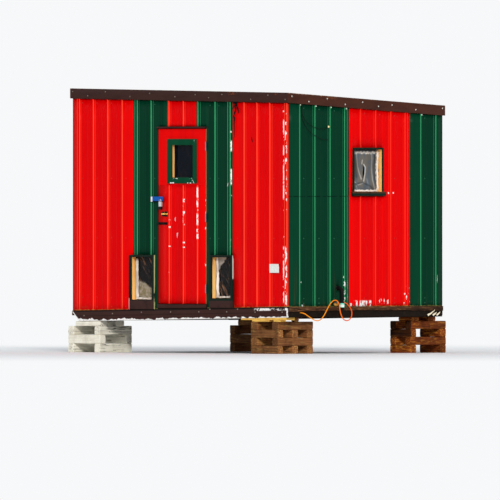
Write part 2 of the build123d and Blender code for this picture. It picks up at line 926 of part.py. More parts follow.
def timbers(corner, size, bottom, height, along_x, count=timber_count):
    """One layer of a crib: parallel timbers, the outer ones flush with its sides."""
    step = ((size[1] if along_x else size[0]) - timber_width) / (count - 1)
    with BuildSketch(Plane.XY.offset(bottom)) as outline:
        with Locations((corner[0] + size[0] / 2, corner[1] + size[1] / 2)):
            if along_x:
                with GridLocations(0, step, 1, count):
                    Rectangle(size[0], timber_width)
            else:
                with GridLocations(step, 0, count, 1):
                    Rectangle(timber_width, size[1])
    extrude(outline.sketch, amount=height)


def caps(corner, size, bottom, runner_y, inwards):
    """Two planks that meet the floor frame, the first one under the runner's outer edge."""
    for shift in (0, cap_spacing):
        middle = runner_y + inwards * (shift + cap_width / 2)
        with BuildSketch(Plane.XY.offset(bottom)) as outline:
            area(corner[0] + cap_inset, corner[0] + size[0], middle - cap_width / 2, middle + cap_width / 2)
        extrude(outline.sketch, amount=base_height)
    split(bisect_by=base_plane(0), keep=Keep.BOTTOM)


def post(corner, size, bottom):
    """A short post between the crib and the end beam."""
    x_high = corner[0] + size[0]
    y_low = corner[1] + crib_post_inset
    with BuildSketch(Plane.XY.offset(bottom)) as outline:
        area(x_high - crib_post[0], x_high, y_low, y_low + crib_post[1])
    extrude(outline.sketch, amount=base_height)
    split(bisect_by=base_plane(0), keep=Keep.BOTTOM)


back_crib_y = back_y + crib_past_back - back_right_crib[1]
front_left_corner = (left_x - crib_past_left, front_y)
front_right_corner = (right_x - front_right_crib_inset - front_right_crib[0], front_y)
back_right_corner = (right_x - back_right_crib_inset - back_right_crib[0], back_crib_y)
back_left_corner = (left_x + back_left_crib_inset, back_crib_y)
# Each crib: its name, corner, size, layer height, number of layers, whether the lowest runs along X,
# timbers in a layer along X, and where the runner that it carries has its outer edge
tall = (tall_layer, tall_layer_count, True)
low = (low_layer, low_layer_count, False)
crib_layouts = (
    ("front_left_crib", front_left_corner, front_left_crib, *low, timber_count, front_y),
    ("front_right_crib", front_right_corner, front_right_crib, *tall, wide_timber_count, None),
    ("back_right_crib", back_right_corner, back_right_crib, *tall, timber_count, back_y),
    ("back_left_crib", back_left_corner, back_left_crib, *low, timber_count, back_y),
)

# Layers that touch are in two nodes, so that each timber stays a solid of its own.
for name, corner, size, layer, count, starts_along_x, x_timbers, runner_y in crib_layouts:
    for half in (0, 1):
        with BuildPart() as stack:
            for step in range(half, count, 2):
                along_x = starts_along_x == (step % 2 == 0)
                layer_count = x_timbers if along_x else timber_count
                timbers(corner, size, step * layer, layer, along_x, layer_count)
            if count % 2 == half:
                if runner_y is None:
                    post(corner, size, count * layer)
                else:
                    caps(corner, size, count * layer, runner_y, 1 if runner_y == front_y else -1)
        save(stack.part, f"{name}_{'odd' if half == 0 else 'even'}_layers")

with BuildPart() as fresh_plank_on_crib:
    plan_box(
        right_x - fresh_plank[0], right_x - fresh_plank[1], front_y, front_y + fresh_plank_width
    )
    trim_between(base_plane(-fresh_plank_thickness), base_plane(0))
save(fresh_plank_on_crib.part, "fresh_plank_on_crib")

with BuildPart() as fresh_blocks_on_crib:
    with BuildSketch(Plane.XY.offset(tall_layer_count * tall_layer)):
        for far, near in fresh_blocks:
            area(right_x - far, right_x - near, front_y, front_y + fresh_block_width)
    extrude(amount=base_height)
    split(bisect_by=base_plane(-fresh_plank_thickness), keep=Keep.BOTTOM)
save(fresh_blocks_on_crib.part, "fresh_blocks_on_crib")

# Drain pipe, its band, and the peg that the orange cord hangs over
pipe_out = pipe_reach - band_thickness - pipe_radius
pipe_y = front_y + pipe_place[0]
with BuildPart() as drain_pipe:
    with BuildLine(Plane(origin=(right_x, pipe_y, 0), x_dir=(1, 0, 0), z_dir=(0, -1, 0))):
        FilletPolyline(
            (0, pipe_place[1]),
            (pipe_out, pipe_place[1]),
            (pipe_out, base_height),
            radius=pipe_bend,
        )
    with BuildSketch(Plane.YZ.offset(right_x)):
        with Locations((pipe_y, pipe_place[1])):
            Circle(pipe_radius)
            Circle(pipe_radius - pipe_wall, mode=Mode.SUBTRACT)
    sweep()
save(drain_pipe.part, "drain_pipe")

with BuildPart() as pipe_band:
    with BuildSketch(Plane.XY.offset(base_height + band_over_base)):
        with Locations((right_x + pipe_out, pipe_y)):
            Circle(pipe_radius + band_thickness)
            Circle(pipe_radius, mode=Mode.SUBTRACT)
    extrude(amount=band_height)
save(pipe_band.part, "pipe_band")

with BuildPart() as cord_peg:
    with BuildSketch(right.offset(gauge)):
        with Locations((peg_along, base_height + peg_over_base)):
            Circle(peg_radius)
    extrude(amount=peg_length)
save(cord_peg.part, "cord_peg")

# Cords: straight runs joined by arcs
for name, route, datum, radius in (
    ("orange_cord", orange_cord_route, base_height, cord_radius),
    ("upper_wire", upper_wire_route, roof_height, wire_radius),
    ("lower_wire", lower_wire_route, roof_height, wire_radius),
):
    points = [right.from_local_coords((along, datum + rise, out)) for out, along, rise in route]
    runs = [after - before for before, after in zip(points, points[1:])]
    radii = [
        cord_bend_share * min(run.length, following.length) / tan(radians(run.get_angle(following)) / 2)
        for run, following in zip(runs, runs[1:])
    ]
    with BuildPart() as cord:
        with BuildLine() as path:
            FilletPolyline(*points, radius=radii)
        with BuildSketch(Plane(origin=points[0], z_dir=runs[0])):
            Circle(radius)
        sweep()
    length = sum(edge.length for edge in path.edges())
    share = cord.part.volume / (pi * radius**2 * length)
    print(f"{name}: {length:.0f} mm long, volume {share:.4f} of section times length")
    print("  radii", *(f"{bend:.0f}" for bend in radii))
    print("  runs", *(f"{run.length:.0f}" for run in runs))
    save(cord.part, name)
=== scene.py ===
"""The looks of an ice fishing hut of ribbed steel sheets, on cribs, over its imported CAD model."""

from __future__ import annotations

import json
import logging
import math
import random
from dataclasses import dataclass
from enum import Enum
from typing import Any, Callable, Iterable, Sequence

import bmesh
import bpy
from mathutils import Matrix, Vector, noise

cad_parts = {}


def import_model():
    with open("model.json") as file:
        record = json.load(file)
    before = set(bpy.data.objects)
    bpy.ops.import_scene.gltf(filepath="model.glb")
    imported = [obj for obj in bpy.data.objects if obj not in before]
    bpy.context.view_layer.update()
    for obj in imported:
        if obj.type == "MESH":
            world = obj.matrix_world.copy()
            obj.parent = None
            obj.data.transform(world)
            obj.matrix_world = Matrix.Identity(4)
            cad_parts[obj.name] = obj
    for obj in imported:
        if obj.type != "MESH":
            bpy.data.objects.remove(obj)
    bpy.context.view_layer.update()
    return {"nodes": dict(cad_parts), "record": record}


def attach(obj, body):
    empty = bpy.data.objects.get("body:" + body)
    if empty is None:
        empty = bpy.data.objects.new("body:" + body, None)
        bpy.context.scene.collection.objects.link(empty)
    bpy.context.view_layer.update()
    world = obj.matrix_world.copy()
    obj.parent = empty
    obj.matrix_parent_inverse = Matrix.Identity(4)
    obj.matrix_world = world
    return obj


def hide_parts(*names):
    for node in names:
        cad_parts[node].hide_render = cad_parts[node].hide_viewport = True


log = logging.getLogger("hut")

Point = tuple[float, float, float]
Colour = tuple[float, float, float]

LEFT_X = -1.708
RIGHT_X = 1.692
FRONT_Y = -1.210
BACK_Y = 1.110
LENGTH = RIGHT_X - LEFT_X
DEPTH = BACK_Y - FRONT_Y
ROOF_HEIGHT = 2.828
ROOF_RISE_TO_LEFT = 0.055
ROOF_FALL_TO_BACK = 0.132
BASE_HEIGHT = 0.396
BASE_DROP_TO_LEFT = 0.056
FASCIA_HEIGHT = 0.110
SHEET_OVER_BASE = 0.116
RIB_PITCH = 0.2286
GAUGE = 0.0015


def hex_colour(code: str) -> Colour:
    """Turn a hexadecimal sRGB colour into linear numbers.

    Args:
        code: Six hexadecimal digits.

    Returns:
        Red, green and blue, from 0 to 1.
    """
    parts = [int(code[i : i + 2], 16) / 255 for i in (0, 2, 4)]
    return tuple(c / 12.92 if c <= 0.04045 else ((c + 0.055) / 1.055) ** 2.4 for c in parts)


def roof_at(x: Any, y: Any) -> Any:
    """Height of the fascia's top over a point, for numbers or for shader values."""
    return (RIGHT_X - x) * (ROOF_RISE_TO_LEFT / LENGTH) - (y - FRONT_Y) * (ROOF_FALL_TO_BACK / DEPTH) + ROOF_HEIGHT


def base_at(x: Any) -> Any:
    """Height of the runners' underside, for numbers or for shader values."""
    return (x - RIGHT_X) * (BASE_DROP_TO_LEFT / LENGTH) + BASE_HEIGHT


class Wall(Enum):
    """The four walls. A place on one is how far along it, out from it and up."""

    FRONT = ((LEFT_X, FRONT_Y), (1, 0), (0, -1))
    RIGHT = ((RIGHT_X, FRONT_Y), (0, 1), (1, 0))
    BACK = ((RIGHT_X, BACK_Y), (-1, 0), (0, 1))
    LEFT = ((LEFT_X, BACK_Y), (0, -1), (-1, 0))

    def at(self, along: float, out: float, up: float) -> Vector:
        """Return the place in the object's own frame."""
        (x, y), (ax, ay), (nx, ny) = self.value
        return Vector((x + ax * along + nx * out, y + ay * along + ny * out, up))

    @property
    def outward(self) -> Vector:
        """The direction out of the wall."""
        return Vector((*self.value[2], 0.0))

    @property
    def lit_side(self) -> int:
        """Which flank of a rib gets the painted highlight, standing in for sun on it: 1 for the one further along the
        wall, -1 for the other.
        """
        return 1 if self in (Wall.FRONT, Wall.BACK) else -1


# Shader expressions


class Value:
    """A socket of a shader tree, on which Python's operators add Math nodes."""

    def __init__(self, shader: Shader, socket: bpy.types.NodeSocket) -> None:
        """Keep the tree and the socket."""
        self.shader = shader
        self.socket = socket

    def _math(self, operation: str, *others: Any, clamp: bool = False) -> Value:
        """Add one Math node that starts from this value."""
        return self._node(operation, (self, *others), clamp)

    def _node(self, operation: str, values: Sequence[Any], clamp: bool = False) -> Value:
        """Add a Math node on the given values.

        Args:
            operation: The Math node's operation.
            values: Numbers or values, in the order of the node's sockets.
            clamp: Whether the result is kept between 0 and 1.

        Returns:
            The node's result.
        """
        settings = {"operation": operation, "use_clamp": clamp}
        return self.shader.node("ShaderNodeMath", settings, dict(enumerate(values)))

    def __add__(self, other: Any) -> Value:
        """Add."""
        return self._math("ADD", other)

    __radd__ = __add__

    def __sub__(self, other: Any) -> Value:
        """Subtract."""
        return self._math("SUBTRACT", other)

    def __rsub__(self, other: Any) -> Value:
        """Subtract this from a number."""
        return self._node("SUBTRACT", (other, self))

    def __mul__(self, other: Any) -> Value:
        """Multiply."""
        return self._math("MULTIPLY", other)

    __rmul__ = __mul__

    def __truediv__(self, other: Any) -> Value:
        """Divide."""
        return self._math("DIVIDE", other)

    def __abs__(self) -> Value:
        """Absolute value."""
        return self._math("ABSOLUTE")

    def clamp(self) -> Value:
        """Keep it between 0 and 1."""
        return self._math("ADD", 0.0, clamp=True)

    def over(self, other: Any) -> Value:
        """Return the larger of two values."""
        return self._math("MAXIMUM", other)

    def under(self, other: Any) -> Value:
        """Return the smaller of two values."""
        return self._math("MINIMUM", other)

    def power(self, exponent: float) -> Value:
        """Raise it to a power."""
        return self._math("POWER", exponent)

    def step(self, low: float, high: float) -> Value:
        """Rise smoothly from 0 at one value to 1 at another."""
        settings = {"interpolation_type": "SMOOTHSTEP"}
        sockets = {"Value": self, "From Min": low, "From Max": high}
        if low > high:
            return 1 - self.step(high, low)
        return self.shader.node("ShaderNodeMapRange", settings, sockets)

    def near(self, centre: float, half: float, soft: float) -> Value:
        """Be 1 within a half width of a centre, and fall to 0 over a soft edge."""
        return abs(self - centre).step(half + soft, half)


class Shader:
    """A material's node tree, with one method that adds any node."""

    def __init__(self, name: str) -> None:
        """Start an empty material.

        Args:
            name: The material's name.
        """
        self.material = bpy.data.materials.new(name)
        self.material.use_nodes = True
        self.tree = self.material.node_tree
        self.tree.nodes.clear()

    def node(
        self, kind: str, settings: dict[str, Any] | None = None, sockets: dict[Any, Any] | None = None, out: Any = 0
    ) -> Value:
        """Add a node.

        Args:
            kind: The node's type.
            settings: Properties to set first. "stops" are a ramp's places and colours.
            sockets: Values or links, by the socket's name or number.
            out: The output's name or number.

        Returns:
            The chosen output.
        """
        made = self.tree.nodes.new(kind)
        for key, value in (settings or {}).items():
            if key == "stops":
                self._stops(made.color_ramp, value)
            else:
                setattr(made, key, value)
        for key, value in (sockets or {}).items():
            if value is None:
                continue
            if isinstance(value, Value):
                self.tree.links.new(value.socket, made.inputs[key])
            elif isinstance(value, tuple) and made.inputs[key].type == "RGBA":
                made.inputs[key].default_value = (*value[:3], 1.0)
            else:
                made.inputs[key].default_value = value
        return Value(self, made.outputs[out])

    @staticmethod
    def _stops(ramp: bpy.types.ColorRamp, stops: Sequence[tuple[float, Colour]]) -> None:
        """Set a ramp's stops."""
        while len(ramp.elements) < len(stops):
            ramp.elements.new(1.0)
        for element, (place, colour) in zip(ramp.elements, stops):
            element.position = place
            element.color = (*colour, 1.0)

    def place(self) -> Value:
        """Return the Object coordinates."""
        return self.node("ShaderNodeTexCoord", out="Object")

    def parts(self, vector: Value) -> tuple[Value, Value, Value]:
        """Split a vector into its three numbers."""
        first = self.node("ShaderNodeSeparateXYZ", None, {0: vector})
        outputs = first.socket.node.outputs
        return tuple(Value(self, outputs[i]) for i in range(3))

    def join(self, x: Any, y: Any, z: Any) -> Value:
        """Join three numbers into a vector."""
        return self.node("ShaderNodeCombineXYZ", None, {0: x, 1: y, 2: z})

    def scaled(self, vector: Value, by: Point) -> Value:
        """Stretch a pattern's coordinates."""
        return self.node("ShaderNodeVectorMath", {"operation": "MULTIPLY"}, {0: vector, 1: by})

    def noise(self, vector: Value, scale: float, detail: float = 4.0, rough: float = 0.55, warp: float = 0.0) -> Value:
        """Add a noise pattern.

        Args:
            vector: Its coordinates.
            scale: How fine it is.
            detail: How many finer layers it has.
            rough: How strong the finer layers are.
            warp: How much it is distorted.

        Returns:
            Its value, about 0.5 on average.
        """
        sockets = {"Vector": vector, "Scale": scale, "Detail": detail, "Roughness": rough, "Distortion": warp}
        return self.node("ShaderNodeTexNoise", None, sockets)

    def cells(self, vector: Value, scale: float, feature: str = "F1", out: str = "Distance") -> Value:
        """Add a pattern of cells, as its distances or its colours."""
        return self.node("ShaderNodeTexVoronoi", {"feature": feature}, {"Vector": vector, "Scale": scale}, out)

    def mix(self, share: Any, first: Any, second: Any, mode: str = "MIX") -> Value:
        """Mix two colours.

        Args:
            share: How much of the second one.
            first: The colour under it.
            second: The colour over it.
            mode: The blend mode.

        Returns:
            The mixed colour.
        """
        settings = {"data_type": "RGBA", "blend_type": mode}
        return self.node("ShaderNodeMix", settings, {0: share, 6: first, 7: second}, out=2)

    def bump(self, height: Value, depth: float, under: Value | None = None, strength: float = 1.0) -> Value:
        """Turn a height between 0 and 1 into a normal.

        Args:
            height: The height pattern.
            depth: How many metres high 1 is.
            under: A normal that this one goes over.
            strength: How strong it is.

        Returns:
            The normal.
        """
        sockets = {"Height": height, "Distance": depth, "Strength": strength, "Normal": under}
        return self.node("ShaderNodeBump", None, sockets)

    def finish(self, colour: Any, roughness: Any = 0.5, metallic: Any = 0.0, normal: Value | None = None,
               **constants: Any) -> bpy.types.Material:
        """Add the surface shader and connect it.

        Args:
            colour: Base colour.
            roughness: Its roughness.
            metallic: How metallic it is.
            normal: Its bumped normal.
            **constants: Other sockets' plain values, with _ for a space.

        Returns:
            The finished material.
        """
        sockets = {"Base Color": colour, "Roughness": roughness, "Metallic": metallic, "Normal": normal}
        sockets |= {key.replace("_", " "): value for key, value in constants.items()}
        surface = self.node("ShaderNodeBsdfPrincipled", None, sockets)
        self.node_output(surface)
        return self.material

    def node_output(self, surface: Value) -> None:
        """Connect a shader to the material's output."""
        output = self.tree.nodes.new("ShaderNodeOutputMaterial")
        self.tree.links.new(surface.socket, output.inputs["Surface"])


# Finishes


@dataclass(frozen=True)
class Scuff:
    """Chipped paint down a wall: its place along it, half width, and the heights and density of each stretch."""

    along: float
    half: float
    spans: tuple[tuple[float, float, float], ...]
    wall: Wall = Wall.FRONT

    def mask(self, along: Value, up: Value, blocks: Value) -> Value:
        """Return where the paint is gone.

        Args:
            along: How far along the wall a point is.
            up: Its height.
            blocks: A noise that breaks the stretches up.

        Returns:
            A mask, for this wall's side only.
        """
        found: Any = 0.0
        for low, high, density in self.spans:
            soft = min(0.03, (high - low) / 3)
            start = 0.80 - 0.40 * density
            stretch = up.near((low + high) / 2, (high - low) / 2 - soft / 2, soft) * blocks.step(start, start + 0.015)
            found = stretch.over(found)
        return along.near(self.along, self.half, 0.003) * found


@dataclass(frozen=True)
class PaintedSheet:
    """Glossy paint on ribbed steel, with painted highlights on its ribs' bends and painted shade beside its ribs,
    chipped in places and rusty along its lower edge.
    """

    name: str
    paint: Colour
    # deep darkens the streaks and is also the painted shade beside the ribs; line is the painted highlight on the ribs'
    # bends
    deep: Colour
    line: Colour
    edge: Colour
    scuffs: tuple[Scuff, ...] = ()
    crease_shade_height: float | None = None
    side_line: float = 0.6

    def ribs(self, s: Shader) -> tuple[Value, Value]:
        """Return masks of the painted highlights on the major ribs' lit bends, and of the painted shade on their other
        flank and on the minor ribs, from the sheet's own attributes.
        """
        away, foot, top, lift = (
            s.node("ShaderNodeAttribute", {"attribute_name": name}, out="Fac") for name in ("away", "foot", "top", "lift")
        )
        tall = lift.step(0.010, 0.014)
        # Painted highlights: on the lit bend, and on the far bend of wide lap ribs
        lit = (away - top).near(0.0040, 0.0024, 0.0016)
        other = (away + top).near(0.0030, 0.0036, 0.0020) * top.step(0.010, 0.014)
        # Painted shade: on the major ribs' other flank, and a faint band on each minor rib
        shaded = (away + top).near(-0.0070, 0.0050, 0.0040) * tall
        faint = (foot + 0.012 - abs(away)).step(0.0, 0.014) * (lift.step(0.0, 0.001) - tall)
        return lit.over(other) * tall, faint.over(shaded)

    def chips(self, s: Shader, place: Value, fine: Value) -> Value:
        """Return where the paint is gone down to the primer.

        Args:
            s: The material.
            place: Object coordinates.
            fine: A fine noise that roughens the chips' edges.

        Returns:
            A mask.
        """
        x, y, z = s.parts(place)
        shake = fine * 0.014 - 0.007
        blocks = s.noise(s.scaled(place, (30.0, 30.0, 15.0)), 1.0, 3.0, 0.6) + fine * 0.14 - 0.07
        bare = (fine * 0.6 + s.noise(place, 19.0, 3.0, 0.5) * 0.4).step(0.735, 0.75)
        walls = {
            Wall.FRONT: (x - LEFT_X + shake, y.step(FRONT_Y + 0.01, FRONT_Y)),
            Wall.RIGHT: (y - FRONT_Y + shake, x.step(RIGHT_X - 0.01, RIGHT_X)),
        }
        for scuff in self.scuffs:
            along, side = walls[scuff.wall]
            bare = bare.over(scuff.mask(along, z, blocks) * side)
        return bare

    def build(self) -> bpy.types.Material:
        """Make the material."""
        s = Shader(self.name)
        place = s.place()
        x, y, z = s.parts(place)
        streaks = s.noise(s.scaled(place, (9.0, 9.0, 0.35)), 1.0, 5.0, 0.6)
        clouds = s.noise(place, 1.6, 3.0)
        fine = s.noise(s.scaled(place, (1.0, 1.0, 0.55)), 120.0, 3.0, 0.7)
        coarse = s.noise(place, 26.0, 5.0, 0.65, 0.4)
        painted_highlights, dark = self.ribs(s)
        colour = s.mix(streaks.step(0.35, 0.75) * 0.5 + clouds.step(0.45, 0.8) * 0.25, self.paint, self.deep)
        # Painted shade beside the ribs, then painted highlights on their bends, weaker on the right wall
        colour = s.mix(dark * 0.4, colour, self.deep)
        side = x.step(RIGHT_X - 0.01, RIGHT_X)
        colour = s.mix(painted_highlights * (streaks * 0.4 + 0.6) * (1 - side * (1 - self.side_line)), colour, self.line)
        over_edge = z - base_at(x) - SHEET_OVER_BASE
        hem = (over_edge + coarse * 0.040).step(0.028, 0.022)
        rust = coarse.step(0.56, 0.72) * over_edge.step(0.09, 0.0)
        runs = s.noise(s.scaled(place, (34.0, 34.0, 0.8)), 1.0, 3.0).step(0.55, 0.72) * over_edge.step(0.6, 0.05)
        colour = s.mix(runs * 0.2, colour, hex_colour("5b2a12"))
        colour = s.mix(rust * 0.7, colour, hex_colour("7a4a22"))
        colour = s.mix(hem * 0.8, colour, self.edge)
        bare = self.chips(s, place, fine)
        colour = s.mix(bare, colour, s.mix(coarse.step(0.55, 0.72), hex_colour("fbfbf8"), hex_colour("d6c8b0")))
        # Painted shade: a dark line along a crease, standing in for the shade in its fold
        if self.crease_shade_height is not None:
            line = z.near(self.crease_shade_height, 0.003, 0.004) * y.step(-0.30, -0.33) * side
            colour = s.mix(line * coarse.step(0.40, 0.55) * 0.9, colour, (0.0, 0.008, 0.004))
        skin = s.bump(s.noise(place, 420.0, 2.0), 0.0002)
        dents = s.bump(s.noise(s.scaled(place, (1.0, 1.0, 0.4)), 11.0, 2.0), 0.0025, skin)
        normal = s.bump(1 - bare, 0.0005, dents)
        rough = (fine * 0.1 + 0.26 + bare * 0.35 + rust * 0.3).clamp()
        return s.finish(colour, rough, 0.0, normal, Specular_IOR_Level=0.03)


@dataclass(frozen=True)
class BrownTrim:
    """Brown painted steel trim, painted paler and redder on the sides as painted light, with ragged edges at the roof
    and the base.
    """

    name: str
    paint: Colour
    side_paint: Colour

    def build(self) -> bpy.types.Material:
        """Make the material."""
        s = Shader(self.name)
        place = s.place()
        x, y, z = s.parts(place)
        fine = s.noise(place, 90.0, 4.0, 0.7)
        coarse = s.noise(place, 18.0, 5.0, 0.65, 0.6)
        wide = s.noise(s.scaled(place, (1.0, 1.0, 4.0)), 4.0, 4.0)
        side = x.step(RIGHT_X - 0.002, RIGHT_X + 0.001).over(x.step(LEFT_X + 0.002, LEFT_X - 0.001))
        # Painted light: the sides get the paler, redder paint
        colour = s.mix(side, self.paint, self.side_paint)
        colour = s.mix(wide.step(0.4, 0.75) * 0.4, colour, hex_colour("24140f"))
        below_top = roof_at(x, y) - z
        near_corner = y.step(FRONT_Y + 0.9, FRONT_Y + 0.4) * side
        top = (below_top + coarse * 0.03 + fine * 0.012).step(0.028, 0.020) * (coarse + near_corner * 0.12).step(0.48, 0.53)
        colour = s.mix(top * 0.85, colour, s.mix(fine.step(0.42, 0.58), hex_colour("c9b29c"), hex_colour("8a4a26")))
        over_base = z - base_at(x)
        skirt = y.step(FRONT_Y + 0.05, FRONT_Y + 0.02).over(y.step(BACK_Y - 0.05, BACK_Y - 0.02))
        # Painted shadow along the skirt's top, under the sheets' lower edge, and a fainter dark line at mid-height
        top_shadow_and_mid_line = over_base.near(0.111, 0.010, 0.003).over(over_base.near(0.055, 0.003, 0.004) * 0.5) * skirt
        colour = s.mix(top_shadow_and_mid_line * 0.9, colour, (0.008, 0.005, 0.004))
        ragged = s.noise(s.scaled(place, (13.0, 13.0, 5.0)), 1.0, 4.0, 0.6)
        hem = (over_base + ragged * 0.085 + fine * 0.010 - x.step(-1.2, -1.5) * 0.008).step(0.060, 0.056)
        nose = (x - LEFT_X) / 0.105 + over_base / 0.095 + coarse * 0.2
        hem = hem.over(nose.step(1.28, 1.22))
        patches = over_base.near(0.091, 0.010, 0.006) * coarse.step(0.465, 0.49) * x.near(1.46, 0.29, 0.02)
        corner = x.near(RIGHT_X - 0.018, 0.010, 0.004) * over_base.near(0.05, 0.045, 0.005) * fine.step(0.40, 0.44)
        hem = hem.over(patches).over(corner) * skirt
        colour = s.mix(hem, colour, s.mix(fine.step(0.54, 0.66), hex_colour("f6f5f2"), hex_colour("b0a698")))
        chips = (fine * 0.45 + coarse * 0.55).step(0.69, 0.71)
        colour = s.mix(chips, colour, s.mix(fine.step(0.45, 0.6), hex_colour("b5a594"), hex_colour("7d4a2c")))
        bare = chips.over(top).over(hem)
        normal = s.bump(s.noise(place, 300.0, 2.0), 0.0004)
        normal = s.bump(wide, 0.003, s.bump(1 - bare, 0.0006, normal))
        rough = (fine * 0.2 + 0.3 + bare * 0.3).clamp()
        return s.finish(colour, rough, 0.0, normal, Specular_IOR_Level=0.05)


@dataclass(frozen=True)
class CasingPaint:
    """Black-green paint on the low windows' casings, brown on their kick panels, with painted light on their
    right-facing outer edges.
    """

    name: str
    paint: Colour
    brown: Colour
    bare_edges: tuple[tuple[float, float, Colour], ...]
    brown_below: float
    sill_above: float = 9.0

    def build(self) -> bpy.types.Material:
        """Make the material."""
        s = Shader(self.name)
        place = s.place()
        x, y, z = s.parts(place)
        fine = s.noise(place, 110.0, 4.0, 0.7)
        wide = s.noise(s.scaled(place, (1.0, 1.0, 0.4)), 14.0, 4.0)
        low = z.step(self.brown_below + 0.002, self.brown_below - 0.002).over(z.near(self.sill_above, 0.012, 0.003))
        colour = s.mix(low, self.paint, self.brown)
        colour = s.mix(wide.step(0.45, 0.75) * 0.4, colour, hex_colour("0b0908"))
        bare: Any = (fine * 0.5 + wide * 0.5).step(0.70, 0.72)
        # Painted light: pale strips on the casings' right-facing edges, where sun falls on their sides
        for edge, bottom, tint in self.bare_edges:
            strip = x.near(edge, 0.0018, 0.0006) * z.step(bottom, bottom + 0.02) * wide.step(0.40, 0.46)
            colour = s.mix(strip, colour, s.mix(fine * 0.5, tint, hex_colour("7a6f50")))
        corner = x.step(LEFT_X + 0.915, LEFT_X + 0.912) * z.step(0.60, 0.59) * fine.step(0.38, 0.42)
        colour = s.mix(bare.over(corner), colour, hex_colour("c9c4b8"))
        normal = s.bump(s.noise(place, 300.0, 2.0), 0.0003, s.bump(wide, 0.002))
        return s.finish(colour, (fine * 0.2 + 0.35).clamp(), 0.0, normal, Specular_IOR_Level=0.05)


class Grain(Enum):
    """Which way a timber's grain runs: along an axis, or by the timber's own coordinates."""

    X = 0
    Y = 1
    Z = 2
    OWN = 3


@dataclass(frozen=True)
class Timber:
    """Sawn timber with rings, fibres, drying cracks and knots.

    A front shade darkens the faces at a place along Y, from a height up, by an amount.
    """

    name: str
    light: Colour
    dark: Colour
    stain: Colour
    grain: Grain = Grain.OWN
    weathered: float = 0.5
    fleck: Colour | None = None
    front_shade: tuple[float, float, float] | None = None

    def build(self) -> bpy.types.Material:
        """Make the material."""
        s = Shader(self.name)
        if self.grain is Grain.OWN:
            place = s.node("ShaderNodeAttribute", {"attribute_name": "grain"}, out="Vector")
        else:
            numbers = s.parts(s.place())
            turned = [numbers[(self.grain.value + step) % 3] for step in range(3)]
            place = s.join(*turned)
        rings_at = s.scaled(place, (0.12, 1.0, 1.0))
        bend = s.noise(s.scaled(place, (0.8, 5.0, 5.0)), 1.0, 3.0)
        rings = s.node(
            "ShaderNodeTexWave", {"wave_type": "RINGS", "rings_direction": "X"},
            {"Vector": rings_at, "Scale": 17.0, "Distortion": 3.2, "Detail": 3.0, "Detail Scale": 1.6}, "Fac")
        fibre = s.noise(s.scaled(place, (1.6, 60.0, 60.0)), 1.0, 6.0, 0.7, 0.4)
        hair = s.noise(s.scaled(place, (5.0, 340.0, 340.0)), 1.0, 3.0, 0.6)
        crack = s.noise(s.scaled(place, (1.1, 34.0, 34.0)), 1.0, 2.0, 0.5, 0.8).near(0.5, 0.006, 0.012)
        crack = crack * s.noise(s.scaled(place, (2.0, 6.0, 6.0)), 1.0, 2.0).step(0.5, 0.6)
        knots = s.cells(s.scaled(place, (2.6, 9.0, 9.0)), 1.0).step(0.16, 0.08)
        saw = s.node("ShaderNodeTexWave", {"wave_type": "BANDS", "bands_direction": "X"},
                     {"Vector": place, "Scale": 46.0, "Distortion": 2.5, "Detail": 2.0}, "Fac")
        tone = (rings * 0.35 + fibre * 0.5 + bend * 0.4 - 0.12).clamp()
        colour = s.mix(tone, self.dark, self.light)
        colour = s.mix(s.noise(place, 9.0, 5.0, 0.65).step(0.42, 0.75) * self.weathered, colour, self.stain)
        colour = s.mix(hair.step(0.35, 0.7) * 0.25, colour, self.light)
        if self.fleck is not None:
            each = s.noise(s.scaled(place, (0.35, 0.0, 0.0)), 1.0, 1.0)
            colour = s.mix(each.step(0.52, 0.36) * 0.55, colour, self.dark)
            mottled = s.noise(s.scaled(place, (8.0, 62.0, 62.0)), 1.0, 5.0, 0.7)
            colour = s.mix(mottled.step(0.48, 0.72) * (each.step(0.36, 0.56) * 0.75 + 0.25), colour, self.fleck)
        colour = s.mix(knots * 0.8, colour, s.mix(0.6, self.dark, (0.03, 0.015, 0.008)))
        colour = s.mix(crack * 0.85, colour, (0.02, 0.014, 0.01))
        # Painted shadow of the hut on the faces that look at the front
        if self.front_shade is not None:
            face, bottom, amount = self.front_shade
            _, y, z = s.parts(s.place())
            shaded = (y - face).step(0.012, 0.006) * z.step(bottom - 0.03, bottom + 0.03) * amount
            colour = s.mix(shaded, colour, s.mix(0.8, self.dark, (0.010, 0.006, 0.003)))
        height = (fibre * 0.6 + hair * 0.2 + saw * 0.12 + rings * 0.12 - crack * 0.8).clamp()
        return s.finish(colour, fibre * 0.25 + 0.6, 0.0, s.bump(height, 0.003), Specular_IOR_Level=0.08)


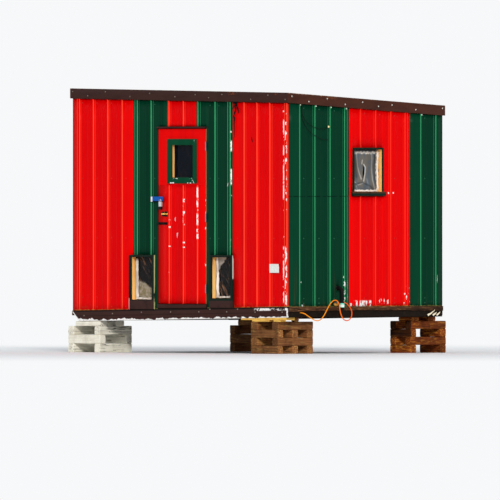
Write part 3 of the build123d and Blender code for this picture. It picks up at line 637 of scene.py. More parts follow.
@dataclass(frozen=True)
class Metal:
    """Metal or thin paint on it, with wear, some rust, and bands of other colours between places on an axis, some of
    them real paint and some painted highlights and painted shade.
    """

    name: str
    colour: Colour
    rough: float
    metallic: float
    rust: float = 0.2
    tint: Colour = hex_colour("6b3a1c")
    bands: tuple[tuple[int, float, float, Colour], ...] = ()
    gloss: float = 0.3

    def build(self) -> bpy.types.Material:
        """Make the material."""
        s = Shader(self.name)
        place = s.place()
        fine = s.noise(place, 260.0, 4.0, 0.65)
        coarse = s.noise(place, 60.0, 5.0, 0.7, 0.5)
        spots = (coarse * 0.7 + fine * 0.3).step(0.66 - self.rust * 0.2, 0.72 - self.rust * 0.1)
        colour = s.mix(coarse.step(0.35, 0.7) * 0.4, self.colour, tuple(c * 0.55 for c in self.colour))
        colour = s.mix(spots * (0.3 + self.rust), colour, self.tint)
        # Bands: real paint, painted highlights and painted shade, as each finish gives them
        for axis, low, high, tone in self.bands:
            wavy = s.parts(place)[axis] + fine * 0.003 - 0.0015
            colour = s.mix(wavy.near((low + high) / 2, (high - low) / 2, 0.0012), colour, tone)
        scratch = s.noise(s.scaled(place, (900.0, 900.0, 60.0)), 1.0, 2.0)
        normal = s.bump((fine * 0.6 + spots * 0.4).clamp(), 0.0004, s.bump(scratch, 0.0001))
        rough = (fine * 0.2 + self.rough - 0.1 + spots * 0.25).clamp()
        return s.finish(colour, rough, (1 - spots) * self.metallic, normal, Specular_IOR_Level=self.gloss)


@dataclass(frozen=True)
class Galvanised:
    """Dull galvanised steel with spangle, streaks and rust, as on the roof."""

    name: str

    def build(self) -> bpy.types.Material:
        """Make the material."""
        s = Shader(self.name)
        place = s.place()
        spangle = s.cells(place, 60.0, out="Color")
        shade = s.parts(spangle)[0]
        streaks = s.noise(s.scaled(place, (12.0, 0.8, 12.0)), 1.0, 5.0, 0.6)
        stains = s.noise(place, 3.0, 6.0, 0.65, 0.4)
        colour = s.mix(shade * 0.5, hex_colour("a9adb0"), hex_colour("8b9094"))
        colour = s.mix(streaks.step(0.5, 0.8) * 0.5, colour, hex_colour("6f706d"))
        rust = (stains * 0.6 + streaks * 0.4).step(0.58, 0.72)
        colour = s.mix(rust * 0.7, colour, hex_colour("7b5233"))
        normal = s.bump(s.noise(place, 200.0, 3.0), 0.0004)
        return s.finish(colour, (stains * 0.25 + 0.44 + rust * 0.3).clamp(), 0.35 - rust * 0.3, normal, Specular_IOR_Level=0.15)


@dataclass(frozen=True)
class PaleWedge:
    """A pale patch on a pane, on one side of a slanting line: the line's slope and height at x = 0, and the x limits.
    """

    slope: float
    height: float
    below: bool
    low: float
    high: float
    tone: Colour


@dataclass(frozen=True)
class Pane:
    """Old dark glazing with brown slanting streaks and pale patches, one of them a painted reflection."""

    name: str
    dirt: float
    pale_wedges: tuple[PaleWedge, ...] = ()
    tint: Colour = hex_colour("55565a")
    dust: float = 0.22

    def build(self) -> bpy.types.Material:
        """Make the material."""
        s = Shader(self.name)
        place = s.place()
        x, y, z = s.parts(place)
        dust = s.noise(place, 30.0, 5.0, 0.6)
        slant = s.noise(s.join(x * 34.0 + z * 21.0, y * 3.0, z * 3.0 - x * 3.0), 1.0, 4.0, 0.6)
        marks = (slant.step(0.50, 0.62) * self.dirt + dust.step(0.48, 0.7) * self.dust).clamp()
        film = s.mix(slant.step(0.56, 0.66), hex_colour("33302f"), hex_colour("8a6247"))
        in_wedges: Any = marks * 0.0
        # Pale patches; the right window's grey one is a painted reflection
        for wedge in self.pale_wedges:
            over = z - x * wedge.slope - wedge.height + dust * 0.06 - 0.03 + slant * 0.08 - 0.04
            inside = over.step(0.014, -0.014) if wedge.below else over.step(-0.014, 0.014)
            here = inside * x.near((wedge.low + wedge.high) / 2, (wedge.high - wedge.low) / 2, 0.004)
            film = s.mix(here, film, s.mix(dust.step(0.35, 0.7), wedge.tone, hex_colour("b3a698")))
            in_wedges = in_wedges.over(here)
        clear = s.node("ShaderNodeBsdfPrincipled", None, {
            "Base Color": self.tint, "Roughness": 0.08, "Transmission Weight": 0.9, "IOR": 1.15,
            "Specular IOR Level": 0.12})
        dull = s.node("ShaderNodeBsdfPrincipled", None, {"Base Color": film, "Roughness": 0.6, "Specular IOR Level": 0.05})
        s.node_output(s.node("ShaderNodeMixShader", None, {0: marks.over(in_wedges * 0.92), 1: clear, 2: dull}))
        return s.material


@dataclass(frozen=True)
class Film:
    """Thin plastic film, milky and dusty, with painted highlights and painted shade on its folds from the mesh's own
    tone if it has one.
    """

    name: str
    colour: Colour
    dark: Colour
    toned: bool = False

    def build(self) -> bpy.types.Material:
        """Make the material."""
        s = Shader(self.name)
        place = s.place()
        folds = s.noise(s.scaled(place, (1.0, 1.0, 0.35)), 11.0, 3.0, 0.5, 1.1)
        fine = s.noise(place, 150.0, 4.0)
        if self.toned:
            # The tone attribute carries painted highlights and painted shade on the folds
            tone = s.node("ShaderNodeAttribute", {"attribute_name": "tone"}, out="Fac")
            tint = s.mix(folds.step(0.42, 0.6), hex_colour("6f6a62"), hex_colour("5c6670"))
            colour = s.mix((tone * 2.0 - 1.0).clamp(), tint, self.colour)
            colour = s.mix((1.0 - tone * 2.0).clamp(), colour, self.dark)
        else:
            colour = s.mix(folds.step(0.36, 0.66), self.dark, self.colour)
        normal = s.bump(folds, 0.003, s.bump(fine, 0.0004))
        return s.finish(colour, (fine * 0.2 + 0.2).clamp(), 0.0, normal, Specular_IOR_Level=0.15)


@dataclass(frozen=True)
class Plastic:
    """Plastic or rubber with fine dirt, and a ring of another colour between two heights if it has one, which on the
    pipe band is a painted highlight.
    """

    name: str
    colour: Colour
    rough: float
    dirt: Colour
    band: Colour | None = None
    band_heights: tuple[float, float] = (0.0, 0.0)
    far_tone: Colour | None = None

    def build(self) -> bpy.types.Material:
        """Make the material."""
        s = Shader(self.name)
        place = s.place()
        fine = s.noise(place, 180.0, 4.0, 0.6)
        coarse = s.noise(place, 30.0, 5.0, 0.65)
        colour: Any = self.colour
        if self.band is not None:
            low, high = self.band_heights
            # Ring between two heights: on the pipe band a painted highlight
            ring = s.parts(place)[2].near((low + high) / 2, (high - low) / 2, 0.001)
            colour = s.mix(ring, self.colour, self.band)
        if self.far_tone is not None:
            colour = s.mix((s.parts(place)[1] - FRONT_Y).step(0.50, 0.80), colour, self.far_tone)
        colour = s.mix(coarse.step(0.45, 0.75) * 0.45, colour, self.dirt)
        rough = (fine * 0.2 + self.rough - 0.1 + coarse * 0.1).clamp()
        return s.finish(colour, rough, 0.0, s.bump(fine, 0.0004), Specular_IOR_Level=0.08)


BACK_CRIB_Y = BACK_Y + 0.158 - 0.540
# The third colour is the painted highlight on the ribs' bends
RED = PaintedSheet(
    "red_sheet_paint", hex_colour("ee0202"), hex_colour("cc0006"), hex_colour("ff5238"), hex_colour("c08a3a"),
    (
        Scuff(3.328, 0.0120, ((2.620, 2.636, 1.0), (2.382, 2.533, 1.0), (2.317, 2.382, 0.55), (1.678, 2.252, 0.92),
                              (1.160, 1.678, 0.35), (0.560, 1.160, 0.8))),
        Scuff(3.373, 0.0110, ((1.660, 2.600, 0.55), (1.160, 1.660, 0.3), (0.520, 1.160, 0.75))),
        Scuff(3.350, 0.0300, ((0.520, 1.100, 0.35),)),
        Scuff(1.981, 0.0052, ((1.693, 1.799, 1.0), (1.553, 1.673, 0.85), (1.397, 1.514, 0.95), (1.318, 1.350, 1.0),
                              (1.246, 1.296, 1.0), (0.560, 1.200, 0.12))),
        Scuff(1.765, 0.0048, ((1.644, 1.677, 1.0), (1.573, 1.633, 0.4), (1.510, 1.543, 1.0), (1.400, 1.500, 0.9),
                              (1.196, 1.212, 0.9), (1.146, 1.158, 0.9), (0.560, 1.140, 0.15))),
        Scuff(1.541, 0.0044, ((1.784, 1.798, 0.8), (1.440, 1.454, 0.8), (1.362, 1.380, 1.0), (1.156, 1.168, 0.8),
                              (0.878, 0.890, 0.8))),
        Scuff(2.1005, 0.0035, ((1.519, 1.677, 0.6), (1.465, 1.492, 1.0), (1.350, 1.378, 0.8), (0.948, 0.970, 0.9))),
        Scuff(1.110, 0.130, ((0.505, 0.572, 0.78),), Wall.RIGHT),
        Scuff(1.430, 0.070, ((0.540, 0.590, 0.70),), Wall.RIGHT),
        Scuff(0.935, 0.012, ((0.512, 0.545, 1.0),), Wall.RIGHT),
        Scuff(1.780, 0.045, ((0.515, 0.720, 0.45),), Wall.RIGHT),
        Scuff(1.503, 0.007, ((1.733, 1.750, 1.0),), Wall.RIGHT),
        Scuff(1.576, 0.006, ((1.736, 1.750, 1.0),), Wall.RIGHT),
    ),
    side_line=0.45,
)
# The third colour is the painted highlight on the ribs' bends
GREEN = PaintedSheet(
    "green_sheet_paint", hex_colour("063d28"), hex_colour("002a1b"), hex_colour("3fae72"), hex_colour("8f8a4a"),
    (
        Scuff(2.506, 0.0042, ((2.383, 2.415, 0.8), (2.198, 2.307, 0.85), (2.095, 2.111, 0.9), (1.835, 2.003, 0.82),
                              (1.222, 1.835, 0.3), (1.205, 1.235, 1.0), (1.150, 1.165, 1.0))),
        Scuff(2.467, 0.0060, ((1.770, 1.850, 0.6),)),
        Scuff(0.828, 0.0050, ((0.560, 0.842, 0.72),), Wall.RIGHT),
        Scuff(0.874, 0.0050, ((0.560, 0.842, 0.72),), Wall.RIGHT),
        Scuff(0.170, 0.0050, ((0.770, 0.786, 1.0),), Wall.RIGHT),
        Scuff(0.204, 0.0090, ((0.512, 0.532, 1.0),), Wall.RIGHT),
        Scuff(2.232, 0.0045, ((0.770, 0.870, 0.6),), Wall.RIGHT),
    ),
    1.706,
    0.8,
)
# Front paint, then the sides' paler, redder paint as painted light
BROWN = BrownTrim("brown_trim_paint", hex_colour("3c2521"), hex_colour("4a291f"))
# The pale tints at the two right-hand casing edges are painted light
LOW_CASING = CasingPaint(
    "low_casing_paint", hex_colour("12211b"), hex_colour("3c2825"),
    ((LEFT_X + 1.303, 0.40, hex_colour("c2c48a")), (LEFT_X + 2.538, 0.80, hex_colour("c9d8d0"))), 0.572,
)
SIDE_CASING = CasingPaint("side_casing_paint", hex_colour("0b241c"), hex_colour("4a3222"), (), 0.0, 1.752)
GREEN_CASING = PaintedSheet(
    "green_casing_paint", hex_colour("07452c"), hex_colour("042f1e"), hex_colour("0a4a30"), hex_colour("cfd2c8"),
    (
        Scuff(1.590, 0.030, ((1.844, 1.858, 0.9),)), Scuff(1.860, 0.028, ((1.844, 1.856, 0.9),)),
        Scuff(1.925, 0.030, ((1.852, 1.882, 0.55),)), Scuff(1.952, 0.012, ((2.295, 2.318, 0.8),)),
        Scuff(1.740, 0.20, ((1.895, 1.903, 0.5),)),
    ),
)
JAMB = Timber("jamb_timber", hex_colour("33271b"), hex_colour("17110c"), hex_colour("0d0a08"), Grain.Z, 0.5)
FRESH = Timber("fresh_wood", hex_colour("ffdc90"), hex_colour("ff9c1c"), hex_colour("f08a1c"), Grain.Z, 0.3)
WALL_TIMBER = Timber("wall_timber", hex_colour("a98a5e"), hex_colour("7d6140"), hex_colour("5b4a38"), Grain.Z, 0.5)
FLOOR_TIMBER = Timber("floor_timber", hex_colour("241910"), hex_colour("0c0906"), hex_colour("070504"), Grain.X, 0.6)
RIM_TIMBER = Timber("rim_timber", hex_colour("5e3d26"), hex_colour("150d09"), hex_colour("0a0705"), Grain.Y, 0.8, hex_colour("a8744a"))
PALE_CRIB = Timber("pale_crib_wood", hex_colour("fbf8ea"), hex_colour("dcd6c2"), hex_colour("9c9077"), Grain.OWN, 0.4)
# The front shades paint the hut's shadow on the cribs' faces under it: all of the near crib's front, and the back right
# crib's front above 0.17 m
BROWN_CRIB = Timber("brown_crib_wood", hex_colour("c4804a"), hex_colour("45261a"), hex_colour("1c100a"), Grain.OWN, 0.75, hex_colour("d6ac60"),
                    (FRONT_Y, 0.0, 0.5))
ORANGE_CRIB = Timber("orange_crib_wood", hex_colour("a04c1c"), hex_colour("341408"), hex_colour("140805"), Grain.OWN, 0.8, hex_colour("f0a03c"),
                     (BACK_CRIB_Y, 0.17, 0.85))
SPLINTER = Timber("split_wood", hex_colour("fff6de"), hex_colour("e8d6ae"), hex_colour("c8b184"), Grain.Y, 0.2)
SHIM = Timber("fresh_shim_wood", hex_colour("ffd873"), hex_colour("e0a03c"), hex_colour("94602a"), Grain.OWN, 0.5)
ROOF = Galvanised("roof_steel_galvanised")
GLASS = Pane("window_glass", 0.7, (
    # The left window's pale patch, then the right window's grey painted reflection
    PaleWedge(-0.409, 0.5031, True, -0.80, -0.44, hex_colour("857a58")),
    PaleWedge(1.058, 0.336, False, 0.46, 0.80, hex_colour("9a948c")),
))
DOOR_GLASS = Pane("door_glass", 0.05, tint=hex_colour("22344c"), dust=0.04)
# Pale and dark ends of the side film's painted highlights and painted shade
GREY_FILM = Film("grey_plastic_film", hex_colour("ece8e0"), hex_colour("14161c"), True)
WHITE_FILM = Film("white_plastic_film", hex_colour("fbf8f4"), hex_colour("cdc6c0"))
# Painted reflection: the dark base stands in for the knob's dark reflections, and the bright band across its middle is
# a painted glint
BRASS = Metal("aged_brass", hex_colour("2a1c0e"), 0.35, 0.6, 0.1, hex_colour("120c08"),
              ((2, 1.508, 1.519, hex_colour("ffd76a")),))
IRON = Metal("black_iron", hex_colour("0d0d0f"), 0.5, 0.3, 0.3, hex_colour("2a1a12"), gloss=0.1)
# The near-black band along the strap's lower edge is a painted shadow; the white band is the hasp's pale end
BLUE = Metal("blue_paint_on_steel", hex_colour("145cb8"), 0.4, 0.0, 0.1, hex_colour("7a6a58"),
             ((2, 1.640, 1.655, hex_colour("0a0b10")), (0, LEFT_X + 1.255, LEFT_X + 1.286, hex_colour("f4f4f0"))), 0.06)
# Painted shade: a dark band down the padlock's left side, and a black lower part as its painted shadow
STEEL = Metal("lock_steel", hex_colour("d6dadc"), 0.35, 0.5, 0.1, bands=(
    (0, LEFT_X + 1.390, LEFT_X + 1.406, hex_colour("22302e")), (2, 1.540, 1.594, hex_colour("0c0c0e"))))
HINGE = Metal("hinge_steel", hex_colour("8b8d90"), 0.4, 0.9, 0.4)
PEG = Metal("peg_steel", hex_colour("9a9c9d"), 0.4, 0.9, 0.4)
PLATE = Metal("white_plate_paint", hex_colour("eceee9"), 0.45, 0.0, 0.1, hex_colour("9a7a52"), gloss=0.1)
RUST = Metal("rusty_flashing", hex_colour("7a4326"), 0.75, 0.1, 0.8, hex_colour("c27442"), gloss=0.1)
SCREW = Metal("screw_zinc", hex_colour("e2e0d6"), 0.4, 0.3, 0.2)
DULL_SCREW = Metal("screw_dull", hex_colour("8f8278"), 0.5, 0.2, 0.4, gloss=0.1)
RED_SCREW = Metal("screw_red_paint", hex_colour("c8302a"), 0.4, 0.0, 0.2, gloss=0.1)
GREEN_SCREW = Metal("screw_green_paint", hex_colour("2c6a4c"), 0.4, 0.0, 0.2, gloss=0.1)
RUBBER = Plastic("pipe_rubber", hex_colour("0c0c0d"), 0.55, hex_colour("24211d"))
# The white ring across the band's middle is a painted highlight
BAND = Plastic("band_plastic", hex_colour("7fe0c6"), 0.4, hex_colour("4f8f82"), hex_colour("f2fbf6"), (0.508, 0.532))
ORANGE = Plastic("cord_orange_sleeve", hex_colour("ff9a1e"), 0.6, hex_colour("f07810"), far_tone=hex_colour("ff5a1c"))
BLACK_WIRE = Plastic("wire_black_sleeve", hex_colour("070708"), 0.45, hex_colour("101010"))
FELT = Plastic("torn_roofing_felt", hex_colour("050506"), 0.8, hex_colour("0f0d0c"))
TAN = Plastic("tan_sealant", hex_colour("c08f42"), 0.7, hex_colour("5a3f20"))
SMEAR = Plastic("grey_paint_smear", hex_colour("bfc4c8"), 0.6, hex_colour("9aa0a6"))
CREAM = Plastic("wire_end_cream", hex_colour("ffeeb0"), 0.5, hex_colour("e0c070"))

SLOT_FINISHES = {
    "red_sheet": RED, "green_sheet": GREEN, "roof_steel": ROOF, "brown_trim": BROWN, "green_casing": GREEN_CASING,
    "dark_casing": LOW_CASING, "wall_timber": WALL_TIMBER, "floor_timber": FLOOR_TIMBER, "fresh_wood": FRESH,
    "pale_crib_wood": PALE_CRIB, "brown_crib_wood": BROWN_CRIB, "orange_crib_wood": ORANGE_CRIB, "pane": GLASS,
    "window_film": GREY_FILM, "knob_brass": BRASS, "bolt_iron": IRON, "hasp_blue": BLUE, "lock_steel": STEEL,
    "hinge_steel": HINGE, "peg_steel": PEG, "pipe_rubber": RUBBER, "band_plastic": BAND, "cord_orange": ORANGE,
    "wire_black": BLACK_WIRE,
}


class Paintbox:
    """Builds each finish once."""

    def __init__(self) -> None:
        """Start with no materials."""
        self.made: dict[str, bpy.types.Material] = {}

    def get(self, finish: Any) -> bpy.types.Material:
        """Return a finish's material."""
        if finish.name not in self.made:
            self.made[finish.name] = finish.build()
        return self.made[finish.name]


# Meshes


@dataclass
class Workshop:
    """Turns lists of points and faces into finished pieces."""

    paints: Paintbox

    def piece(self, name: str, mesh: bpy.types.Mesh, finish: Any, slot: str, body: str = "hut",
              stands_for: Sequence[str] = (), smooth: bool = True) -> bpy.types.Object:
        """Make a piece of the object from a mesh.

        Args:
            name: The piece's name.
            mesh: Its mesh, in place.
            finish: Its finish.
            slot: The record's material slot; not used.
            body: The body that it rides on.
            stands_for: CAD nodes that it takes the place of.
            smooth: Whether its faces are shaded smooth.

        Returns:
            The piece.
        """
        made = bpy.data.objects.new(name, mesh)
        bpy.context.scene.collection.objects.link(made)
        mesh.materials.clear()
        mesh.materials.append(self.paints.get(finish))
        mesh.polygons.foreach_set("use_smooth", [smooth] * len(mesh.polygons))
        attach(made, body)
        if stands_for:
            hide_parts(*stands_for)
        triangles = sum(len(face.vertices) - 2 for face in mesh.polygons)
        log.info("%s: %d triangles", name, triangles)
        return made

    def applied(self, name: str, mesh: bpy.types.Mesh, *modifiers: tuple[str, dict[str, Any]]) -> bpy.types.Mesh:
        """Apply modifiers to a mesh.

        Args:
            name: The result's name.
            mesh: The mesh to start from.
            *modifiers: Each one's type and settings.

        Returns:
            The evaluated mesh.
        """
        holder = bpy.data.objects.new(name + "_draft", mesh)
        bpy.context.scene.collection.objects.link(holder)
        for kind, settings in modifiers:
            modifier = holder.modifiers.new(kind.lower(), kind)
            for key, value in settings.items():
                if key.startswith("Socket_"):
                    modifier[key] = value
                else:
                    setattr(modifier, key, value)
        graph = bpy.context.evaluated_depsgraph_get()
        result = bpy.data.meshes.new_from_object(holder.evaluated_get(graph))
        result.name = name
        bpy.data.objects.remove(holder)
        return result

    def softened(self, node: str, finish: Any, slot: str, body: str = "hut", edge: float = 0.002) -> bpy.types.Object:
        """Replace a CAD node by a copy whose edges are slightly rounded.

        Args:
            node: The CAD node.
            finish: Its finish.
            slot: Its slot.
            body: The body that it rides on.
            edge: How far its edges are rounded.

        Returns:
            The new piece.
        """
        shape = bmesh.new()
        shape.from_mesh(bpy.data.objects[node].data)
        bmesh.ops.remove_doubles(shape, verts=shape.verts, dist=0.00002)
        bmesh.ops.dissolve_limit(shape, angle_limit=0.01, verts=shape.verts, edges=shape.edges)
        mesh = bpy.data.meshes.new(node + "_soft")
        shape.to_mesh(mesh)
        shape.free()
        mesh.polygons.foreach_set("use_smooth", [True] * len(mesh.polygons))
        bevel = {"width": edge, "segments": 2, "limit_method": "ANGLE", "angle_limit": 0.5, "harden_normals": True}
        mesh = self.applied(node + "_finished", mesh, ("BEVEL", bevel))
        return self.piece(node + "_finished", mesh, finish, slot, body, [node])


class Draft:
    """Points and faces of a mesh being made, with a grain coordinate for timbers."""

    def __init__(self) -> None:
        """Start empty."""
        self.points: list[Vector] = []
        self.faces: list[list[int]] = []
        self.grain: list[Vector] = []

    def add(self, point: Vector, grain: Vector | None = None) -> int:
        """Add a point and return its number."""
        self.points.append(point)
        self.grain.append(grain or point)
        return len(self.points) - 1

    def mesh(self, name: str, outward: bool = True) -> bpy.types.Mesh:
        """Make the mesh.

        Args:
            name: Its name.
            outward: Whether its faces are turned outwards as a closed shape's.

        Returns:
            The mesh, with its grain as an attribute.
        """
        made = bpy.data.meshes.new(name)
        made.from_pydata([tuple(p) for p in self.points], [], self.faces)
        layer = made.attributes.new("grain", "FLOAT_VECTOR", "POINT")
        layer.data.foreach_set("vector", [c for g in self.grain for c in g])
        if outward:
            shape = bmesh.new()
            shape.from_mesh(made)
            bmesh.ops.recalc_face_normals(shape, faces=shape.faces)
            shape.to_mesh(made)
            shape.free()
        return made


@dataclass(frozen=True)
class Rib:
    """A rib of a sheet: its middle, foot width, top width and height."""

    middle: float
    foot: float
    top: float
    height: float


def major(middle: float) -> Rib:
    """A plain major rib."""
    return Rib(middle, 0.040, 0.014, 0.016)


def lap(middle: float) -> Rib:
    """A wide rib where two sheets overlap."""
    return Rib(middle, 0.062, 0.034, 0.016)


def minor(middle: float) -> Rib:
    """A faint rib between two major ones."""
    return Rib(middle, 0.030, 0.014, 0.003)


@dataclass(frozen=True)
class Notch:
    """A cut in a sheet, from one place to another along it and between two heights."""

    low: float
    high: float
    bottom: float
    top: float


@dataclass(frozen=True)
class Sheet:
    """One ribbed sheet on a wall, or on the door between two heights."""

    wall: Wall
    start: float
    end: float
    majors: tuple[Rib, ...]
    notches: tuple[Notch, ...] = ()
    heights: tuple[float, float] | None = None

    def ribs(self) -> list[Rib]:
        """Return the major ribs, with two minor ones in each wide space."""
        edges = [self.start, *(rib.middle for rib in self.majors), self.end]
        found = list(self.majors)
        for low, high in zip(edges, edges[1:]):
            if high - low > RIB_PITCH * 0.8:
                found += [minor(low + (high - low) * share) for share in (1 / 3, 2 / 3)]
        return sorted(found, key=lambda rib: rib.middle)

    def columns(self) -> list[float]:
        """Return the places along the sheet where its mesh has points."""
        places = {self.start, self.end}
        for rib in self.ribs():
            flank = (rib.foot - rib.top) / 2
            count = 5 if rib.height > 0.01 else 3
            for side in (-1, 1):
                places |= {rib.middle + side * (rib.top / 2 + flank * step / count) for step in range(-1, count + 2)}
            places.add(rib.middle)
        for notch in self.notches:
            places |= {notch.low, notch.high}
        kept: list[float] = []
        for place in sorted(p for p in places if self.start <= p <= self.end):
            if not kept or place - kept[-1] > 0.0008:
                kept.append(place)
        return kept

    def levels(self) -> list[float]:
        """Return the heights shared by all columns, between the lowest and the highest edge."""
        low, high = self.heights or (0.55, 2.40)
        edges = {level for notch in self.notches for level in (notch.bottom, notch.top)}
        marks = sorted({low, high, *(e for e in edges if low < e < high)} if self.heights else
                       {*(e for e in edges if e > 0), 0.56, 2.50})
        filled: list[float] = []
        for first, second in zip(marks, marks[1:]):
            count = max(1, round((second - first) / 0.11))
            filled += [first + (second - first) * step / count for step in range(count)]
        return [*filled, marks[-1]]

    def ends(self, along: float) -> tuple[float, float]:
        """Return the lowest and highest points of the sheet at a place along it."""
        if self.heights:
            return self.heights
        spot = self.wall.at(along, 0.0, 0.0)
        return base_at(spot.x) + SHEET_OVER_BASE, roof_at(spot.x, spot.y) - FASCIA_HEIGHT - 0.001

    def cut(self, along: float, up: float) -> bool:
        """Whether a place lies in a notch."""
        return any(n.low < along < n.high and n.bottom < up < n.top for n in self.notches)

    def draw(self, draft: Draft, marks: dict[str, list[float]]) -> None:
        """Add the flat sheet's cells, and note how far each point is from its rib.

        Args:
            draft: The mesh being made.
            marks: Lists of each point's distance from the rib, and the rib's sizes.
        """
        ribs = self.ribs()
        columns = self.columns()
        levels = self.levels()
        numbers: list[list[int]] = []
        for along in columns:
            low, high = self.ends(along)
            inner_levels = levels[1:-1] if self.heights else levels
            rib = min(ribs, key=lambda r: abs(r.middle - along) - r.foot / 2)
            row = []
            for level in [low, *inner_levels, high]:
                row.append(draft.add(self.wall.at(along, GAUGE, level)))
                for key, value in (("away", (along - rib.middle) * self.wall.lit_side), ("foot", rib.foot / 2),
                                   ("top", rib.top / 2), ("lift", rib.height)):
                    marks[key].append(value)
                marks["out"].extend(self.wall.outward)
            numbers.append(row)
        for i in range(len(columns) - 1):
            middle = (columns[i] + columns[i + 1]) / 2
            for j in range(len(numbers[i]) - 1):
                up = (draft.points[numbers[i][j]].z + draft.points[numbers[i][j + 1]].z) / 2
                if not self.cut(middle, up):
                    draft.faces.append([numbers[i][j], numbers[i + 1][j], numbers[i + 1][j + 1], numbers[i][j + 1]])


# Geometry Nodes


class Tree:
    """A Geometry Nodes tree with named inputs, made node by node."""

    def __init__(self, name: str, inputs: Sequence[tuple[str, str, Any]]) -> None:
        """Make the tree and its inputs.

        Args:
            name: The tree's name.
            inputs: Each input's name, socket type and default.
        """
        self.group = bpy.data.node_groups.new(name, "GeometryNodeTree")
        face = self.group.interface
        face.new_socket("Geometry", in_out="INPUT", socket_type="NodeSocketGeometry")
        face.new_socket("Geometry", in_out="OUTPUT", socket_type="NodeSocketGeometry")
        self.keys: dict[str, str] = {}
        for label, kind, default in inputs:
            socket = face.new_socket(label, in_out="INPUT", socket_type=kind)
            if default is not None:
                socket.default_value = default
            self.keys[label] = socket.identifier
        self.source = self.group.nodes.new("NodeGroupInput")
        self.sink = self.group.nodes.new("NodeGroupOutput")

    def input(self, name: str) -> bpy.types.NodeSocket:
        """Return a named input's socket."""
        return self.source.outputs[name]

    def node(self, kind: str, settings: dict[str, Any] | None = None, sockets: dict[Any, Any] | None = None,
             out: Any = 0) -> bpy.types.NodeSocket:
        """Add a node.

        Args:
            kind: Its type.
            settings: Properties to set first.
            sockets: Values or links by the socket's name or number.
            out: The output's name or number.

        Returns:
            The chosen output socket.
        """
        made = self.group.nodes.new(kind)
        for key, value in (settings or {}).items():
            setattr(made, key, value)
        for key, value in (sockets or {}).items():
            values = value if isinstance(value, list) else [value]
            for one in values:
                if isinstance(one, bpy.types.NodeSocket):
                    self.group.links.new(one, made.inputs[key])
                else:
                    made.inputs[key].default_value = one
        return made.outputs[out]

    def attribute(self, name: str, kind: str = "FLOAT") -> bpy.types.NodeSocket:
        """Read a named attribute."""
        return self.node("GeometryNodeInputNamedAttribute", {"data_type": kind}, {"Name": name})

    def math(self, operation: str, *values: Any) -> bpy.types.NodeSocket:
        """Add a Math node."""
        return self.node("ShaderNodeMath", {"operation": operation}, dict(enumerate(values)))

    def end(self, geometry: bpy.types.NodeSocket) -> None:
        """Realize the instances, set the material and end the tree."""
        real = self.node("GeometryNodeRealizeInstances", None, {0: geometry})
        done = self.node("GeometryNodeSetMaterial", None, {"Geometry": real, "Material": self.input("Material")})
        self.group.links.new(done, self.sink.inputs[0])

    def modifier(self, **values: Any) -> tuple[str, dict[str, Any]]:
        """Return this tree as a modifier's type and settings, with inputs set by identifier."""
        settings: dict[str, Any] = {"node_group": self.group}
        settings |= {self.keys[key.replace("_", " ")]: value for key, value in values.items()}
        return "NODES", settings


def rib_tree() -> Tree:
    """Make the tree that raises a flat sheet's ribs and makes its flats slightly wavy."""
    tree = Tree("raise_ribs", [("Waviness", "NodeSocketFloat", 0.0016), ("Rib Share", "NodeSocketFloat", 1.0),
                               ("Seed", "NodeSocketFloat", 3.0), ("Material", "NodeSocketMaterial", None)])
    rise = tree.node("ShaderNodeMapRange", {"interpolation_type": "SMOOTHSTEP"}, {
        "Value": tree.math("ABSOLUTE", tree.attribute("away")), "From Min": tree.attribute("foot"), "From Max": tree.attribute("top")})
    lift = tree.math("MULTIPLY", tree.math("MULTIPLY", rise, tree.attribute("lift")), tree.input("Rib Share"))
    where = tree.node("GeometryNodeInputPosition")
    slow = tree.node("ShaderNodeVectorMath", {"operation": "MULTIPLY"}, {0: where, 1: (4.2, 4.2, 1.5)})
    wave = tree.node("ShaderNodeTexNoise", {"noise_dimensions": "4D"},
                     {"Vector": slow, "W": tree.input("Seed"), "Scale": 1.0, "Detail": 1.0})
    sway = tree.math("MULTIPLY", tree.math("SUBTRACT", wave, 0.55), tree.input("Waviness"))
    total = tree.math("ADD", lift, sway)
    offset = tree.node("ShaderNodeVectorMath", {"operation": "SCALE"},
                       {0: tree.attribute("out", "FLOAT_VECTOR"), "Scale": total})
    moved = tree.node("GeometryNodeSetPosition", None, {"Geometry": tree.input("Geometry"), "Offset": offset})
    tree.end(moved)
    return tree


def screw_tree() -> Tree:
    """Make the tree that puts a washer and a hexagon head on each point."""
    tree = Tree("screw_heads", [("Head Radius", "NodeSocketFloat", 0.0045), ("Head Height", "NodeSocketFloat", 0.004),
                                ("Washer Radius", "NodeSocketFloat", 0.0075), ("Seed", "NodeSocketInt", 7),
                                ("Material", "NodeSocketMaterial", None)])
    washer = tree.node("GeometryNodeMeshCylinder", None,
                       {"Vertices": 14, "Radius": tree.input("Washer Radius"), "Depth": 0.0024})
    hexagon = tree.node("GeometryNodeMeshCylinder", None,
                        {"Vertices": 6, "Radius": tree.input("Head Radius"), "Depth": tree.input("Head Height")})
    rise = tree.node("ShaderNodeCombineXYZ", None, {2: tree.math("MULTIPLY", tree.input("Head Height"), 0.5)})
    raised = tree.node("GeometryNodeTransform", None, {"Geometry": hexagon, "Translation": rise})
    head = tree.node("GeometryNodeJoinGeometry", None, {0: [washer, raised]})
    facing = tree.node("FunctionNodeAlignRotationToVector", {"axis": "Z"},
                       {"Vector": tree.attribute("facing", "FLOAT_VECTOR")})
    spin = tree.node("FunctionNodeRandomValue", {"data_type": "FLOAT"},
                     {"Min": 0.0, "Max": 1.0, "Seed": tree.input("Seed")}, out=1)
    turn = tree.node("FunctionNodeAxisAngleToRotation", None, {"Axis": (0.0, 0.0, 1.0), "Angle": spin})
    rotation = tree.node("FunctionNodeRotateRotation", {"rotation_space": "LOCAL"},
                         {"Rotation": facing, "Rotate By": turn})
    placed = tree.node("GeometryNodeInstanceOnPoints", None,
                       {"Points": tree.input("Geometry"), "Instance": head, "Rotation": rotation})
    tree.end(placed)
    return tree


